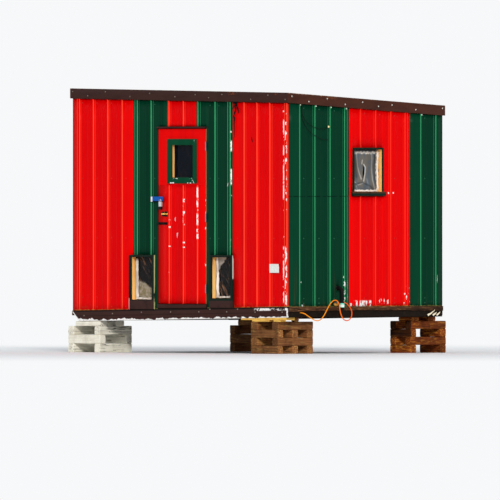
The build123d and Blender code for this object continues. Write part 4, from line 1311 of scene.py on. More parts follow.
# Sub-assemblies

LOW_WINDOWS = ((0.903, 1.303, 0.939, 1.264, 0.580), (2.171, 2.538, 2.207, 2.502, 0.600))
LOW_CASING_TOP = 1.066
LOW_GLASS_TOP = 1.044
FRONT_NOTCHES = (
    Notch(0.902, 1.304, 0.0, LOW_CASING_TOP + 0.001),
    Notch(2.170, 2.539, 0.0, LOW_CASING_TOP + 0.001),
    Notch(1.348, 2.119, 0.0, 2.465),
)
SIDE_NOTCHES = (Notch(0.958, 1.420, 1.710, 2.234), Notch(0.937, 1.441, 1.710, 1.758))
PIPE_NOTCH = Notch(0.713, 0.757, 0.690, 0.734)


def ribs_from(first: float, count: int, kinds: Callable[[int], bool] = lambda step: False) -> tuple[Rib, ...]:
    """Return ribs at the sheets' pitch, those chosen by their number being lap ribs."""
    places = [first + RIB_PITCH * step for step in range(count)]
    return tuple(lap(place) if kinds(step) else major(place) for step, place in enumerate(places))


@dataclass
class Cladding:
    """The ribbed sheets of the walls and of the door."""

    shop: Workshop
    tree: Tree
    wave: float = 0.0022

    def sheets(self) -> dict[str, list[Sheet]]:
        """Return each CAD node's sheets."""
        front = Wall.FRONT
        right_first = 0.164
        side = ribs_from(right_first, 10, lambda step: step in (3, 7))
        side_green = [Sheet(Wall.RIGHT, -GAUGE, 0.908, side[:4], (PIPE_NOTCH,)),
                      Sheet(Wall.RIGHT, 1.827, DEPTH + GAUGE, side[8:])]
        side_red = [Sheet(Wall.RIGHT, 0.908, 1.827, side[4:8], SIDE_NOTCHES)]
        last = (major(2.705), major(2.9065), major(3.108), lap(3.365))
        far: dict[int, list[Sheet]] = {0: [], 1: []}
        width = 4 * RIB_PITCH
        for count in range(math.ceil(LENGTH / width)):
            low = count * width
            high = min(low + width, LENGTH)
            ribs = tuple(r for r in ribs_from(low + RIB_PITCH / 2, 4) if r.middle < high - RIB_PITCH / 4)
            far[count % 2].append(Sheet(Wall.BACK, low, high, ribs))
        for key, group in ((0, side_green), (1, side_red)):
            far[key] += [self.mirrored(sheet) for sheet in group]
        return {
            "front_red_sheets": [
                Sheet(front, 0.0, 0.959, ribs_from(0.098, 4, lambda step: step == 0), FRONT_NOTCHES),
                Sheet(front, 1.500, 1.957, ribs_from(1.522, 2), FRONT_NOTCHES),
                Sheet(front, 2.524, LENGTH, last, FRONT_NOTCHES)],
            "front_green_sheets": [
                Sheet(front, 0.959, 1.500, ribs_from(1.013, 2, lambda step: step == 0), FRONT_NOTCHES),
                Sheet(front, 1.957, 2.524, (major(1.9792), major(2.2478), lap(2.4764)), FRONT_NOTCHES)],
            "right_green_sheets": side_green,
            "right_red_sheet": side_red,
            "far_green_sheets": far[0],
            "far_red_sheets": far[1],
            "door_sheet": [Sheet(front, 1.360, 2.105, tuple(major(p) for p in (1.528, 1.7505, 1.973)),
                                 heights=(0.5375, 1.827))],
        }

    @staticmethod
    def mirrored(sheet: Sheet) -> Sheet:
        """Return a plain sheet of the right wall on the left one."""
        ribs = tuple(Rib(DEPTH - r.middle, r.foot, r.top, r.height) for r in reversed(sheet.majors))
        return Sheet(Wall.LEFT, DEPTH - sheet.end, DEPTH - sheet.start, ribs)

    def build(self) -> None:
        """Make the sheets, with their ribs raised by the tree, and give them their thickness."""
        for node, sheets in self.sheets().items():
            draft = Draft()
            marks: dict[str, list[float]] = {key: [] for key in ("away", "foot", "top", "lift", "out")}
            for sheet in sheets:
                sheet.draw(draft, marks)
            flat = draft.mesh(node + "_flat", outward=False)
            for key, values in marks.items():
                kind, field = ("FLOAT_VECTOR", "vector") if key == "out" else ("FLOAT", "value")
                flat.attributes.new(key, kind, "POINT").data.foreach_set(field, values)
            finish = RED if "red" in node or node.startswith("door") else GREEN
            body = "door" if node.startswith("door") else "hut"
            raise_ribs = self.tree.modifier(Waviness=self.wave, Material=self.shop.paints.get(finish))
            shell = ("SOLIDIFY", {"thickness": 0.0011, "offset": -1.0, "use_even_offset": True})
            mesh = self.shop.applied(node + "_ribbed", flat, raise_ribs, shell)
            slot = "red_sheet" if finish is RED else "green_sheet"
            self.shop.piece(node + "_ribbed", mesh, finish, slot, body, [node])


@dataclass
class Fasteners:
    """Screws along the fascia, the skirt, the ribs and the roof."""

    shop: Workshop
    tree: Tree
    fascia_rows: tuple[float, float] = (0.036, 0.074)
    row_heights: tuple[float, ...] = (0.60, 1.25, 1.90)

    def fascia(self, walls: Sequence[Wall]) -> list[tuple[Vector, Vector]]:
        """Return the fascia's screws on some walls, two uneven rows on each."""
        found = []
        front = (0.02, 0.26, 0.54, 0.93, 1.24, 1.64, 1.96, 2.17, 2.38, 2.83, 3.10, 3.37)
        side = (0.025, 0.28, 0.557, 0.827, 1.09, 1.33, 1.535, 1.895, 2.30)
        for wall in walls:
            for count, along in enumerate(front if wall in (Wall.FRONT, Wall.BACK) else side):
                spot = wall.at(along, 0.0242, 0.0)
                drop = self.fascia_rows[count % 2] + 0.006 * math.sin(count * 2.3)
                spot.z = roof_at(spot.x, spot.y) - drop
                found.append((spot, wall.outward))
        return found

    def skirt(self) -> list[tuple[Vector, Vector]]:
        """Return the skirt's screws on the front and the back."""
        found = []
        for wall in (Wall.FRONT, Wall.BACK):
            for along, up in ((0.182, 0.401), (0.633, 0.426), (1.092, 0.442), (1.552, 0.447), (1.998, 0.451), (2.172, 0.480),
                              (2.436, 0.453), (2.606, 0.482), (2.881, 0.451), (3.304, 0.453)):
                spot = wall.at(along, 0.0062, 0.0)
                spot.z = base_at(spot.x) + up - base_at(LEFT_X + along)
                found.append((spot, wall.outward))
        return found

    def sheets(self) -> list[tuple[Vector, Vector]]:
        """Return the screws in the sheets' flats, beside each major rib."""
        found = []
        runs = {Wall.FRONT: (0.158, 0.387, 0.615, 0.840, 1.30, 2.17, 2.31, 2.60, 2.77, 2.97, 3.17, 3.31),
                Wall.RIGHT: tuple(0.224 + RIB_PITCH * step for step in range(9)),
                Wall.BACK: tuple(0.174 + RIB_PITCH * step for step in range(14)),
                Wall.LEFT: tuple(0.159 + RIB_PITCH * step for step in range(9))}
        notches = {Wall.FRONT: FRONT_NOTCHES, Wall.RIGHT: (*SIDE_NOTCHES, PIPE_NOTCH)}
        for wall, places in runs.items():
            for along in places:
                foot = wall.at(along, 0.0018, 0.0)
                heights = (base_at(foot.x) + SHEET_OVER_BASE + 0.035, *self.row_heights,
                           roof_at(foot.x, foot.y) - FASCIA_HEIGHT - 0.045)
                for up in heights:
                    clear = not any(n.low - 0.02 < along < n.high + 0.02 and n.bottom - 0.02 < up < n.top + 0.02
                                    for n in notches.get(wall, ()))
                    if clear:
                        found.append((Vector((foot.x, foot.y, up)), wall.outward))
        return found

    def rib_tops(self) -> list[tuple[Vector, Vector]]:
        """Return the bright screws in the side ribs, under the fascia."""
        found = []
        for along in (0.164, 0.3926, 0.6212, 0.8498, 1.9928):
            spot = Wall.RIGHT.at(along, 0.0174, 0.0)
            spot.z = roof_at(spot.x, spot.y) - FASCIA_HEIGHT - 0.012
            found.append((spot, Wall.RIGHT.outward))
        return found

    @staticmethod
    def on_red(spot: Vector, way: Vector) -> bool:
        """Whether a screw is in a red sheet."""
        if way.y < -0.5:
            along = spot.x - LEFT_X
            return along < 0.959 or 1.500 < along < 1.957 or along > 2.524
        if way.y > 0.5:
            return int((RIGHT_X - spot.x) / (4 * RIB_PITCH)) % 2 == 1
        return 0.908 < spot.y - FRONT_Y < 1.827

    def roof(self) -> list[tuple[Vector, Vector]]:
        """Return the roof's screws, in rows over the joists."""
        found = []
        for row in range(6):
            for step in range(14):
                x = RIGHT_X - 0.20 - step * RIB_PITCH
                y = FRONT_Y + 0.15 + row * 0.40
                if x > LEFT_X + 0.05:
                    found.append((Vector((x, y, roof_at(x, y) - 0.0208)), Vector((0.016, 0.057, 1.0)).normalized()))
        return found

    def build(self) -> None:
        """Make each group of screws."""
        sheet = self.sheets()
        groups = (
            ("long_fascia_screws", self.fascia((Wall.FRONT, Wall.BACK)), DULL_SCREW, "roof_steel", 0.9),
            ("side_fascia_screws", self.fascia((Wall.RIGHT, Wall.LEFT)), SCREW, "roof_steel", 1.0),
            ("skirt_screws", self.skirt(), DULL_SCREW, "roof_steel", 1.0),
            ("rib_top_screws", self.rib_tops(), SCREW, "roof_steel", 1.1),
            ("red_sheet_screws", [one for one in sheet if self.on_red(*one)], RED_SCREW, "red_sheet", 0.85),
            ("green_sheet_screws", [one for one in sheet if not self.on_red(*one)], GREEN_SCREW, "green_sheet", 0.85),
            ("roof_screws", self.roof(), SCREW, "roof_steel", 1.0),
        )
        for name, spots, finish, slot, size in groups:
            points = bpy.data.meshes.new(name + "_points")
            points.from_pydata([tuple(spot) for spot, _ in spots], [], [])
            facing = points.attributes.new("facing", "FLOAT_VECTOR", "POINT")
            facing.data.foreach_set("vector", [c for _, way in spots for c in way])
            heads = self.tree.modifier(Head_Radius=0.0046 * size, Head_Height=0.0042 * size, Washer_Radius=0.0078 * size,
                                       Material=self.shop.paints.get(finish))
            mesh = self.shop.applied(name, points, heads)
            self.shop.piece(name, mesh, finish, slot, smooth=False)


@dataclass(frozen=True)
class Beam:
    """One sawn timber: its low and high corners, the axis it runs along, and its top's rise towards +X."""

    low: Point
    high: Point
    axis: int
    rise: float = 0.0

    def draw(self, draft: Draft, seed: int, chamfer: float = 0.006, rough: float = 0.0028) -> None:
        """Add the timber as a loft of uneven rings with worn arrises.

        Args:
            draft: The mesh being made.
            seed: What its unevenness and grain start from.
            chamfer: How far the arrises are worn.
            rough: How uneven the faces are.
        """
        low, high = Vector(self.low), Vector(self.high)
        run = self.axis
        side, rise_axis = (1, 2) if run == 0 else (0, 2)
        length = high[run] - low[run]
        half = ((high[side] - low[side]) / 2, (high[2] - low[2]) / 2)
        middle = (low + high) / 2
        shift = random.Random(seed)
        pith = Vector((shift.uniform(0, 9), shift.uniform(-0.05, 0.05), shift.uniform(-0.09, -0.03)))
        stops = [0.0, chamfer, *[length * k / 9 for k in range(1, 9)], length - chamfer, length]
        c = chamfer
        w, h = half
        outline = [(-w, -h + c), (-w, 0), (-w, h - c), (-w + c, h), (0, h), (w - c, h),
                   (w, h - c), (w, 0), (w, -h + c), (w - c, -h), (0, -h), (-w + c, -h)]
        rings = []
        for stop in stops:
            end = stop in (0.0, length)
            ring = []
            for across, up in outline:
                wear = abs(noise.noise(Vector((stop * 7 + seed, across * 30, up * 30)))) * rough
                corner = 0.5 < abs(across) / w < 1.0 or 0.5 < abs(up) / h < 1.0
                flat = abs(up) == h
                wear += abs(noise.noise(Vector((stop * 19, seed + across * 9, up * 9)))) * rough * (2.2 if corner else 0.0)
                shrink = wear + (c * 0.8 if end else 0.0)
                a = across - math.copysign(min(shrink, abs(across)), across)
                b = up if flat and not end else up - math.copysign(min(shrink, abs(up)), up)
                point = Vector((0.0, 0.0, 0.0))
                point[run] = low[run] + stop
                point[side] = middle[side] + a
                point[rise_axis] = middle[2] + b
                if up > 0 and self.rise:
                    point.z += self.rise * (point.x - high.x) / max(high.x - low.x, 0.001)
                ring.append(draft.add(point, Vector((stop, a, b)) + pith))
            rings.append(ring)
        for first, second in zip(rings, rings[1:]):
            for k in range(len(first)):
                after = (k + 1) % len(first)
                draft.faces.append([first[k], first[after], second[after], second[k]])
        draft.faces.append(list(reversed(rings[0])))
        draft.faces.append(list(rings[-1]))


@dataclass(frozen=True)
class Crib:
    """A log-cabin stack of timbers under a corner of the floor frame."""

    name: str
    corner: tuple[float, float]
    size: tuple[float, float]
    layer: float
    count: int
    starts_along_x: bool
    x_timbers: int
    runner: float | None
    finish: Timber
    slot: str
    width: float = 0.090
    cap_inset: float = 0.116
    cap_width: float = 0.120
    cap_spacing: float = 0.250

    def beams(self) -> Iterable[Beam]:
        """Return the stack's timbers, its caps or its post included."""
        x0, y0 = self.corner
        for step in range(self.count):
            along_x = self.starts_along_x == (step % 2 == 0)
            count = self.x_timbers if along_x else 2
            z0 = step * self.layer
            span = (self.size[1] if along_x else self.size[0]) - self.width
            for k in range(count):
                move = span * k / (count - 1)
                if along_x:
                    yield Beam((x0, y0 + move, z0), (x0 + self.size[0], y0 + move + self.width, z0 + self.layer), 0)
                else:
                    yield Beam((x0 + move, y0, z0), (x0 + move + self.width, y0 + self.size[1], z0 + self.layer), 1)
        top = self.count * self.layer
        x1 = x0 + self.size[0]
        if self.runner is None:
            low_y = y0 + 0.264
            yield Beam((x1 - 0.066, low_y, top), (x1, low_y + 0.064, base_at(x1)), 1)
            return
        inwards = 1 if self.runner == FRONT_Y else -1
        for shift in (0.0, self.cap_spacing):
            middle = self.runner + inwards * (shift + self.cap_width / 2)
            first = x0 + self.cap_inset
            rise = base_at(x1) - base_at(first)
            yield Beam((first, middle - self.cap_width / 2, top), (x1, middle + self.cap_width / 2, base_at(x1)), 0, rise)

    def build(self, shop: Workshop, seed: int) -> None:
        """Make the stack as one piece that stands for its two CAD nodes."""
        draft = Draft()
        for number, beam in enumerate(self.beams()):
            beam.draw(draft, seed * 40 + number)
        mesh = draft.mesh(self.name + "_timbers")
        nodes = [f"{self.name}_odd_layers", f"{self.name}_even_layers"]
        shop.piece(self.name + "_timbers", mesh, self.finish, self.slot, "hut", nodes, smooth=False)


CRIBS = (
    Crib("front_left_crib", (LEFT_X - 0.080, FRONT_Y), (0.507, 0.486), 0.096, 3, False, 2, FRONT_Y, PALE_CRIB, "pale_crib_wood"),
    Crib("front_right_crib", (RIGHT_X - 0.596, FRONT_Y), (0.420, 0.540), 0.087, 4, True, 3, None, BROWN_CRIB, "brown_crib_wood"),
    Crib("back_right_crib", (RIGHT_X - 0.425, BACK_CRIB_Y), (0.325, 0.540), 0.087, 4, True, 2, BACK_Y, ORANGE_CRIB, "orange_crib_wood"),
    Crib("back_left_crib", (LEFT_X + 0.450, BACK_CRIB_Y), (0.420, 0.540), 0.096, 3, False, 2, BACK_Y, BROWN_CRIB, "brown_crib_wood"),
)


@dataclass(frozen=True)
class Ribbon:
    """A thin torn strip on a wall: points along it, out and up, with a half width at each."""

    wall: Wall
    points: tuple[tuple[float, float, float, float], ...]
    jag: float = 0.3
    curl: float = 0.0

    def draw(self, draft: Draft, seed: int) -> None:
        """Add the strip with ragged edges.

        Args:
            draft: The mesh being made.
            seed: What its raggedness starts from.
        """
        rough = random.Random(seed)
        rows = []
        steps = 7
        for first, second in zip(self.points, self.points[1:]):
            for k in range(steps):
                t = k / steps
                rows.append([a + (b - a) * t for a, b in zip(first, second)])
        rows.append(list(self.points[-1]))
        numbers = []
        for i, (along, out, up, half) in enumerate(rows):
            before, after = rows[max(i - 1, 0)], rows[min(i + 1, len(rows) - 1)]
            way = Vector((after[0] - before[0], after[2] - before[2]))
            way = way.normalized() if way.length > 0 else Vector((1.0, 0.0))
            across = Vector((-way.y, way.x))
            row = []
            for side in (-1.0, -0.5, 0.0, 0.5, 1.0):
                reach = half * side * (1 + (rough.uniform(-self.jag, self.jag) if abs(side) == 1.0 else 0.0))
                lift = self.curl * half * side * side + 0.12 * half * noise.noise(Vector((i * 0.7, side, seed)))
                spot = self.wall.at(along + across.x * reach, out + lift, up + across.y * reach)
                row.append(draft.add(spot))
            numbers.append(row)
        for first_row, second_row in zip(numbers, numbers[1:]):
            for k in range(4):
                draft.faces.append([first_row[k], first_row[k + 1], second_row[k + 1], second_row[k]])


@dataclass
class Remnants:
    """Torn felt, rusty flashing curls, film strips in the low windows and a bare plate."""

    shop: Workshop

    def strips(self, name: str, ribbons: Sequence[Ribbon], finish: Any, slot: str, thick: float = 0.0008,
               body: str = "hut") -> None:
        """Make thin strips as one piece."""
        draft = Draft()
        for seed, ribbon in enumerate(ribbons):
            ribbon.draw(draft, seed + 5)
        mesh = draft.mesh(name + "_draft", outward=False)
        mesh = self.shop.applied(name, mesh, ("SOLIDIFY", {"thickness": thick, "offset": 0.0}))
        self.shop.piece(name, mesh, finish, slot, body)

    def plate(self) -> None:
        """Make the bare white plate on the front, slightly rippled, with a bent corner."""
        draft = Draft()
        low, high, bottom, top = 3.120, 3.268, 0.879, 0.974
        columns, rows = 12, 8
        numbers = []
        for i in range(columns + 1):
            row = []
            for j in range(rows + 1):
                u, v = i / columns, j / rows
                bend = 0.006 * max(0.0, u + v - 1.6) / 0.4
                ripple = 0.0007 * math.sin(u * 7) * math.sin(v * 5)
                row.append(draft.add(Wall.FRONT.at(low + (high - low) * u, 0.0192 + bend + ripple, bottom + (top - bottom) * v)))
            numbers.append(row)
        for i in range(columns):
            for j in range(rows):
                draft.faces.append([numbers[i][j], numbers[i + 1][j], numbers[i + 1][j + 1], numbers[i][j + 1]])
        mesh = self.shop.applied("bare_plate", draft.mesh("bare_plate_draft", outward=False),
                                 ("SOLIDIFY", {"thickness": 0.0012, "offset": 1.0}), ("BEVEL", {"width": 0.0003, "segments": 2}))
        self.shop.piece("bare_plate", mesh, PLATE, "roof_steel")

    def build(self) -> None:
        """Make all remnants."""
        front, right = Wall.FRONT, Wall.RIGHT
        felt = [
            Ribbon(front, ((2.552, 0.018, 2.735, 0.010), (2.600, 0.020, 2.703, 0.009), (2.576, 0.020, 2.682, 0.008),
                           (2.594, 0.020, 2.653, 0.008), (2.574, 0.020, 2.612, 0.010), (2.582, 0.019, 2.582, 0.004)), 0.2),
            Ribbon(front, ((2.598, 0.019, 2.737, 0.010), (2.612, 0.020, 2.686, 0.008), (2.630, 0.020, 2.650, 0.009),
                           (2.634, 0.019, 2.612, 0.005)), 0.2),
            Ribbon(front, ((2.556, 0.019, 2.582, 0.006), (2.574, 0.020, 2.553, 0.010), (2.568, 0.019, 2.504, 0.006),
                           (2.573, 0.019, 2.437, 0.004), (2.570, 0.018, 2.387, 0.003), (2.575, 0.018, 2.346, 0.001)), 0.2),
            Ribbon(front, ((2.556, 0.019, 2.722, 0.010), (2.588, 0.020, 2.726, 0.007), (2.614, 0.019, 2.730, 0.010)), 0.2),
            Ribbon(front, ((2.564, 0.019, 2.697, 0.005), (2.546, 0.018, 2.655, 0.004)), 0.2),
            Ribbon(front, ((2.822, 0.006, 2.350, 0.003), (2.834, 0.007, 2.318, 0.005), (2.842, 0.006, 2.296, 0.006)), 0.2),
        ]
        self.strips("torn_felt", felt, FELT, "pipe_rubber", 0.0016)
        curls = [
            Ribbon(front, ((2.465, 0.012, 2.816, 0.010), (2.51, 0.020, 2.826, 0.012), (2.56, 0.023, 2.822, 0.011),
                           (2.592, 0.014, 2.813, 0.004)), 0.4, 0.9),
            Ribbon(front, ((3.200, 0.020, 2.808, 0.005), (3.226, 0.023, 2.812, 0.008), (3.250, 0.016, 2.806, 0.003)), 0.4, 0.8),
            Ribbon(right, ((0.42, 0.020, 2.786, 0.006), (0.60, 0.022, 2.774, 0.008), (0.78, 0.020, 2.764, 0.004)), 0.5, 0.6),
        ]
        self.strips("flashing_curls", curls, RUST, "brown_trim")
        films = []
        for _, _, low, high, sill in LOW_WINDOWS:
            films.append(Ribbon(front, ((low + 0.034, -0.044, sill + 0.446, 0.016), (low + 0.036, -0.047, sill + 0.24, 0.020),
                                        (low + 0.040, -0.044, sill + 0.012, 0.024)), 0.25, 0.2))
            films.append(Ribbon(front, ((low + 0.01, -0.040, sill + 0.014, 0.010), (low + 0.16, -0.043, sill + 0.012, 0.008),
                                        (high - 0.01, -0.040, sill + 0.014, 0.011)), 0.4, 0.3))
        self.strips("low_window_film_strips", films, WHITE_FILM, "window_film")
        edge = [Ribbon(right, ((1.378, -0.040, 2.205, 0.010), (1.372, -0.044, 1.98, 0.014), (1.380, -0.040, 1.768, 0.010)), 0.4, 0.3),
                Ribbon(right, ((0.985, -0.040, 1.768, 0.009), (1.19, -0.044, 1.766, 0.006), (1.39, -0.040, 1.769, 0.010)), 0.4, 0.3)]
        self.strips("side_film_edges", edge, WHITE_FILM, "window_film")
        smears = [
            Ribbon(front, ((1.628, 0.003, 1.480, 0.003), (1.619, 0.003, 1.455, 0.008), (1.628, 0.003, 1.432, 0.002)), 0.3),
            Ribbon(front, ((1.664, 0.003, 1.311, 0.004), (1.655, 0.003, 1.298, 0.010), (1.654, 0.003, 1.252, 0.001)), 0.3),
        ]
        splinters = [
            Ribbon(Wall.RIGHT, ((2.080, 0.022, 0.411, 0.010), (2.136, 0.024, 0.437, 0.008), (2.190, 0.022, 0.470, 0.001)), 0.2),
            Ribbon(Wall.RIGHT, ((2.158, 0.022, 0.411, 0.010), (2.190, 0.024, 0.428, 0.008), (2.213, 0.022, 0.446, 0.001)), 0.2),
            Ribbon(Wall.RIGHT, ((2.214, 0.022, 0.411, 0.010), (2.246, 0.024, 0.430, 0.008), (2.268, 0.022, 0.449, 0.001)), 0.2),
        ]
        self.strips("rim_splinters", splinters, SPLINTER, "floor_timber", 0.004)
        self.strips("door_smears", smears, SMEAR, "red_sheet", 0.0006, "door")
        self.lump("pipe_packing", Wall.RIGHT.at(0.683, 0.030, 0.538), (0.024, 0.029, 0.022), TAN, "pipe_rubber")
        self.lump("wire_end_cap", Wall.RIGHT.at(0.583, 0.018, 2.461), (0.007, 0.013, 0.011), CREAM, "wire_black")
        self.plate()

    def lump(self, name: str, middle: Vector, size: Point, finish: Any, slot: str) -> None:
        """Make an uneven rounded lump."""
        shape = bmesh.new()
        bmesh.ops.create_icosphere(shape, subdivisions=4, radius=1.0)
        for vertex in shape.verts:
            uneven = 1 + 0.10 * noise.noise(vertex.co * 2.3 + middle)
            vertex.co = middle + Vector([a * b * uneven for a, b in zip(vertex.co, size)])
        mesh = bpy.data.meshes.new(name)
        shape.to_mesh(mesh)
        shape.free()
        self.shop.piece(name, mesh, finish, slot)


@dataclass(frozen=True)
class Fold:
    """A fold of the film: its line in shares of the film's width and height, how broad it is, and its painted
    highlight, painted shade where below 0.
    """

    points: tuple[tuple[float, float], ...]
    width: float
    tone: float

    @staticmethod
    def reach(u: float, v: float, first: tuple[float, float], second: tuple[float, float]) -> float:
        """Return the distance from a place to one stretch of the line."""
        ax, ay = first
        bx, by = second
        dx, dy = bx - ax, by - ay
        t = max(0.0, min(1.0, ((u - ax) * dx + (v - ay) * dy) / (dx * dx + dy * dy)))
        return math.hypot(u - ax - dx * t, v - ay - dy * t)


# Painted highlights and painted shade along the film's folds
FILM_FOLDS = (
    Fold(((0.232, 0.90), (0.259, 0.61), (0.313, 0.45), (0.395, 0.306)), 0.022, 0.22),
    Fold(((0.150, 0.85), (0.190, 0.55), (0.215, 0.36)), 0.055, -0.24),
    Fold(((0.436, 0.75), (0.418, 0.66)), 0.014, 0.35),
    Fold(((0.480, 0.64), (0.545, 0.577), (0.520, 0.396), (0.480, 0.25)), 0.020, 0.34),
    Fold(((0.872, 0.865), (0.858, 0.486), (0.900, 0.216), (0.954, 0.10)), 0.020, -0.34),
    Fold(((0.777, 0.88), (0.763, 0.54), (0.804, 0.27), (0.886, 0.05)), 0.026, 0.22),
    Fold(((0.190, 0.18), (0.450, 0.216), (0.722, 0.126), (0.858, 0.03)), 0.024, -0.26),
    Fold(((0.120, 0.25), (0.286, 0.16), (0.504, 0.216)), 0.016, 0.24),
    Fold(((0.26, 0.05), (0.22, 0.14)), 0.016, 0.20),
    Fold(((0.60, 0.30), (0.66, 0.12)), 0.030, 0.12),
)


@dataclass
class SideFilm:
    """The torn, crumpled film stretched in the right wall's window."""

    shop: Workshop
    low: float = 0.9775
    high: float = 1.4005
    bottom: float = 1.7575
    top: float = 2.2145
    depth: float = -0.056
    crumple: float = 0.006
    columns: int = 90
    rows: int = 100

    def lift(self, u: float, v: float) -> float:
        """Return how far the film stands out at a place, as ridges of two sizes."""
        spot = Vector((u * 2.6, v * 1.7, 1.3))
        warp = noise.noise_vector(spot * 0.8) * 0.5
        ridges = 1 - abs(noise.noise(spot + warp)) * 2.2
        small = 1 - abs(noise.noise(spot * 2.9 + Vector((7, 3, 1)))) * 2.0
        hold = min(1.0, 9 * min(u, 1 - u, v, 1 - v))
        return self.crumple * hold * (ridges * 0.75 + small * 0.35 - 0.35)

    def torn(self, u: float, v: float) -> bool:
        """Whether a place lies in the tear."""
        t = (v - 0.27) / 0.38
        if not 0 < t < 1:
            return False
        middle = 0.446 + 0.030 * math.sin(t * 2.6) + 0.006 * noise.noise(Vector((v * 30, 0, 4)))
        return abs(u - middle) < 0.026 * math.sin(math.pi * t) ** 0.7

    @staticmethod
    def tone(u: float, v: float) -> float:
        """Return how pale the film is at a place, 0.5 being plain, from the painted highlights and shade of its folds
        and pale bands along its edges.
        """
        shade = 0.42 + 0.10 * noise.noise(Vector((u * 5.0, v * 2.0, 2.2)))
        # Painted highlights and painted shade along the folds
        for fold in FILM_FOLDS:
            near = min(fold.reach(u, v, a, b) for a, b in zip(fold.points, fold.points[1:]))
            shade += fold.tone * math.exp(-((near / fold.width) ** 2))
        rough = 0.03 * noise.noise(Vector((u * 17, v * 17, 5.0)))
        top = max(0.0, 1 - abs(v - 0.925 + rough) / 0.045) * (0.55 + 0.6 * noise.noise(Vector((u * 9, 0.0, 8.0))))
        right = max(0.0, min(1.0, (u - 0.905 + rough) / 0.04))
        bottom = max(0.0, min(1.0, (0.050 - v + rough) / 0.02))
        shade += 0.9 * top + 0.55 * right + 0.6 * bottom
        return shade - (0.45 if v > 0.965 else 0.0)

    def build(self) -> None:
        draft = Draft()
        numbers = []
        tones: list[float] = []
        for i in range(self.columns + 1):
            row = []
            for j in range(self.rows + 1):
                u, v = i / self.columns, j / self.rows
                along = self.low + (self.high - self.low) * u
                up = self.bottom + (self.top - self.bottom) * v
                row.append(draft.add(Wall.RIGHT.at(along, self.depth + self.lift(u, v), up)))
                tones.append(self.tone(u, v))
            numbers.append(row)
        for i in range(self.columns):
            for j in range(self.rows):
                if not self.torn((i + 0.5) / self.columns, (j + 0.5) / self.rows):
                    draft.faces.append([numbers[i][j], numbers[i + 1][j], numbers[i + 1][j + 1], numbers[i][j + 1]])
        mesh = draft.mesh("side_film_draft", outward=False)
        mesh.attributes.new("tone", "FLOAT", "POINT").data.foreach_set("value", tones)
        shape = bmesh.new()
        shape.from_mesh(mesh)
        bmesh.ops.delete(shape, geom=[v for v in shape.verts if not v.link_faces], context="VERTS")
        area = sum(face.calc_area() for face in shape.faces)
        shape.to_mesh(mesh)
        shape.free()
        mesh = self.shop.applied("side_film", mesh, ("SOLIDIFY", {"thickness": 0.0004, "offset": 0.0}))
        film = self.shop.piece("side_film", mesh, GREY_FILM, "window_film", "hut", ["side_window_film"])
        width, height = self.high - self.low, self.top - self.bottom
        grow = math.sqrt(area / (width * height))
        log.info("side film: %.3f by %.3f m flat", width * grow, height * grow)
        width * grow
        height * grow


@dataclass
class Knob:
    """The round door knob: a lathed rose, neck and grip."""

    shop: Workshop
    along: float = 1.476
    up: float = 1.513
    segments: int = 56

    def profile(self) -> list[tuple[float, float]]:
        """Return radius and distance out along the axis, in metres."""
        points = [(0.0, 0.0), (0.031, 0.0), (0.031, 0.003), (0.0303, 0.0044), (0.0290, 0.0046), (0.0288, 0.0060),
                  (0.028, 0.0072), (0.024, 0.0075), (0.019, 0.0082), (0.0125, 0.0095), (0.011, 0.013), (0.011, 0.022),
                  (0.0120, 0.0240), (0.0122, 0.0255)]
        for k in range(1, 15):
            angle = math.pi * k / 15
            points.append((0.0125 + 0.0145 * math.sin(angle) ** 0.8, 0.0255 + 0.0300 * (1 - math.cos(angle)) / 2))
        points += [(0.0145, 0.0556), (0.0138, 0.0562), (0.0085, 0.0562), (0.0075, 0.0556), (0.0070, 0.0558), (0.0, 0.0562)]
        return points

    def build(self) -> None:
        """Make the knob."""
        draft = Draft()
        rings = []
        for radius, out in self.profile():
            if radius == 0.0:
                rings.append([draft.add(Wall.FRONT.at(self.along, GAUGE + out, self.up))])
                continue
            angles = [2 * math.pi * k / self.segments for k in range(self.segments)]
            rings.append([draft.add(Wall.FRONT.at(self.along + radius * math.cos(a), GAUGE + out, self.up + radius * math.sin(a)))
                          for a in angles])
        for first, second in zip(rings, rings[1:]):
            for k in range(self.segments):
                after = (k + 1) % self.segments
                corners = [first[k % len(first)], first[after % len(first)], second[after % len(second)], second[k % len(second)]]
                unique = list(dict.fromkeys(corners))
                if len(unique) > 2:
                    draft.faces.append(unique)
        self.shop.piece("door_knob_turned", draft.mesh("door_knob_turned"), BRASS, "knob_brass", "door", ["door_knob"])


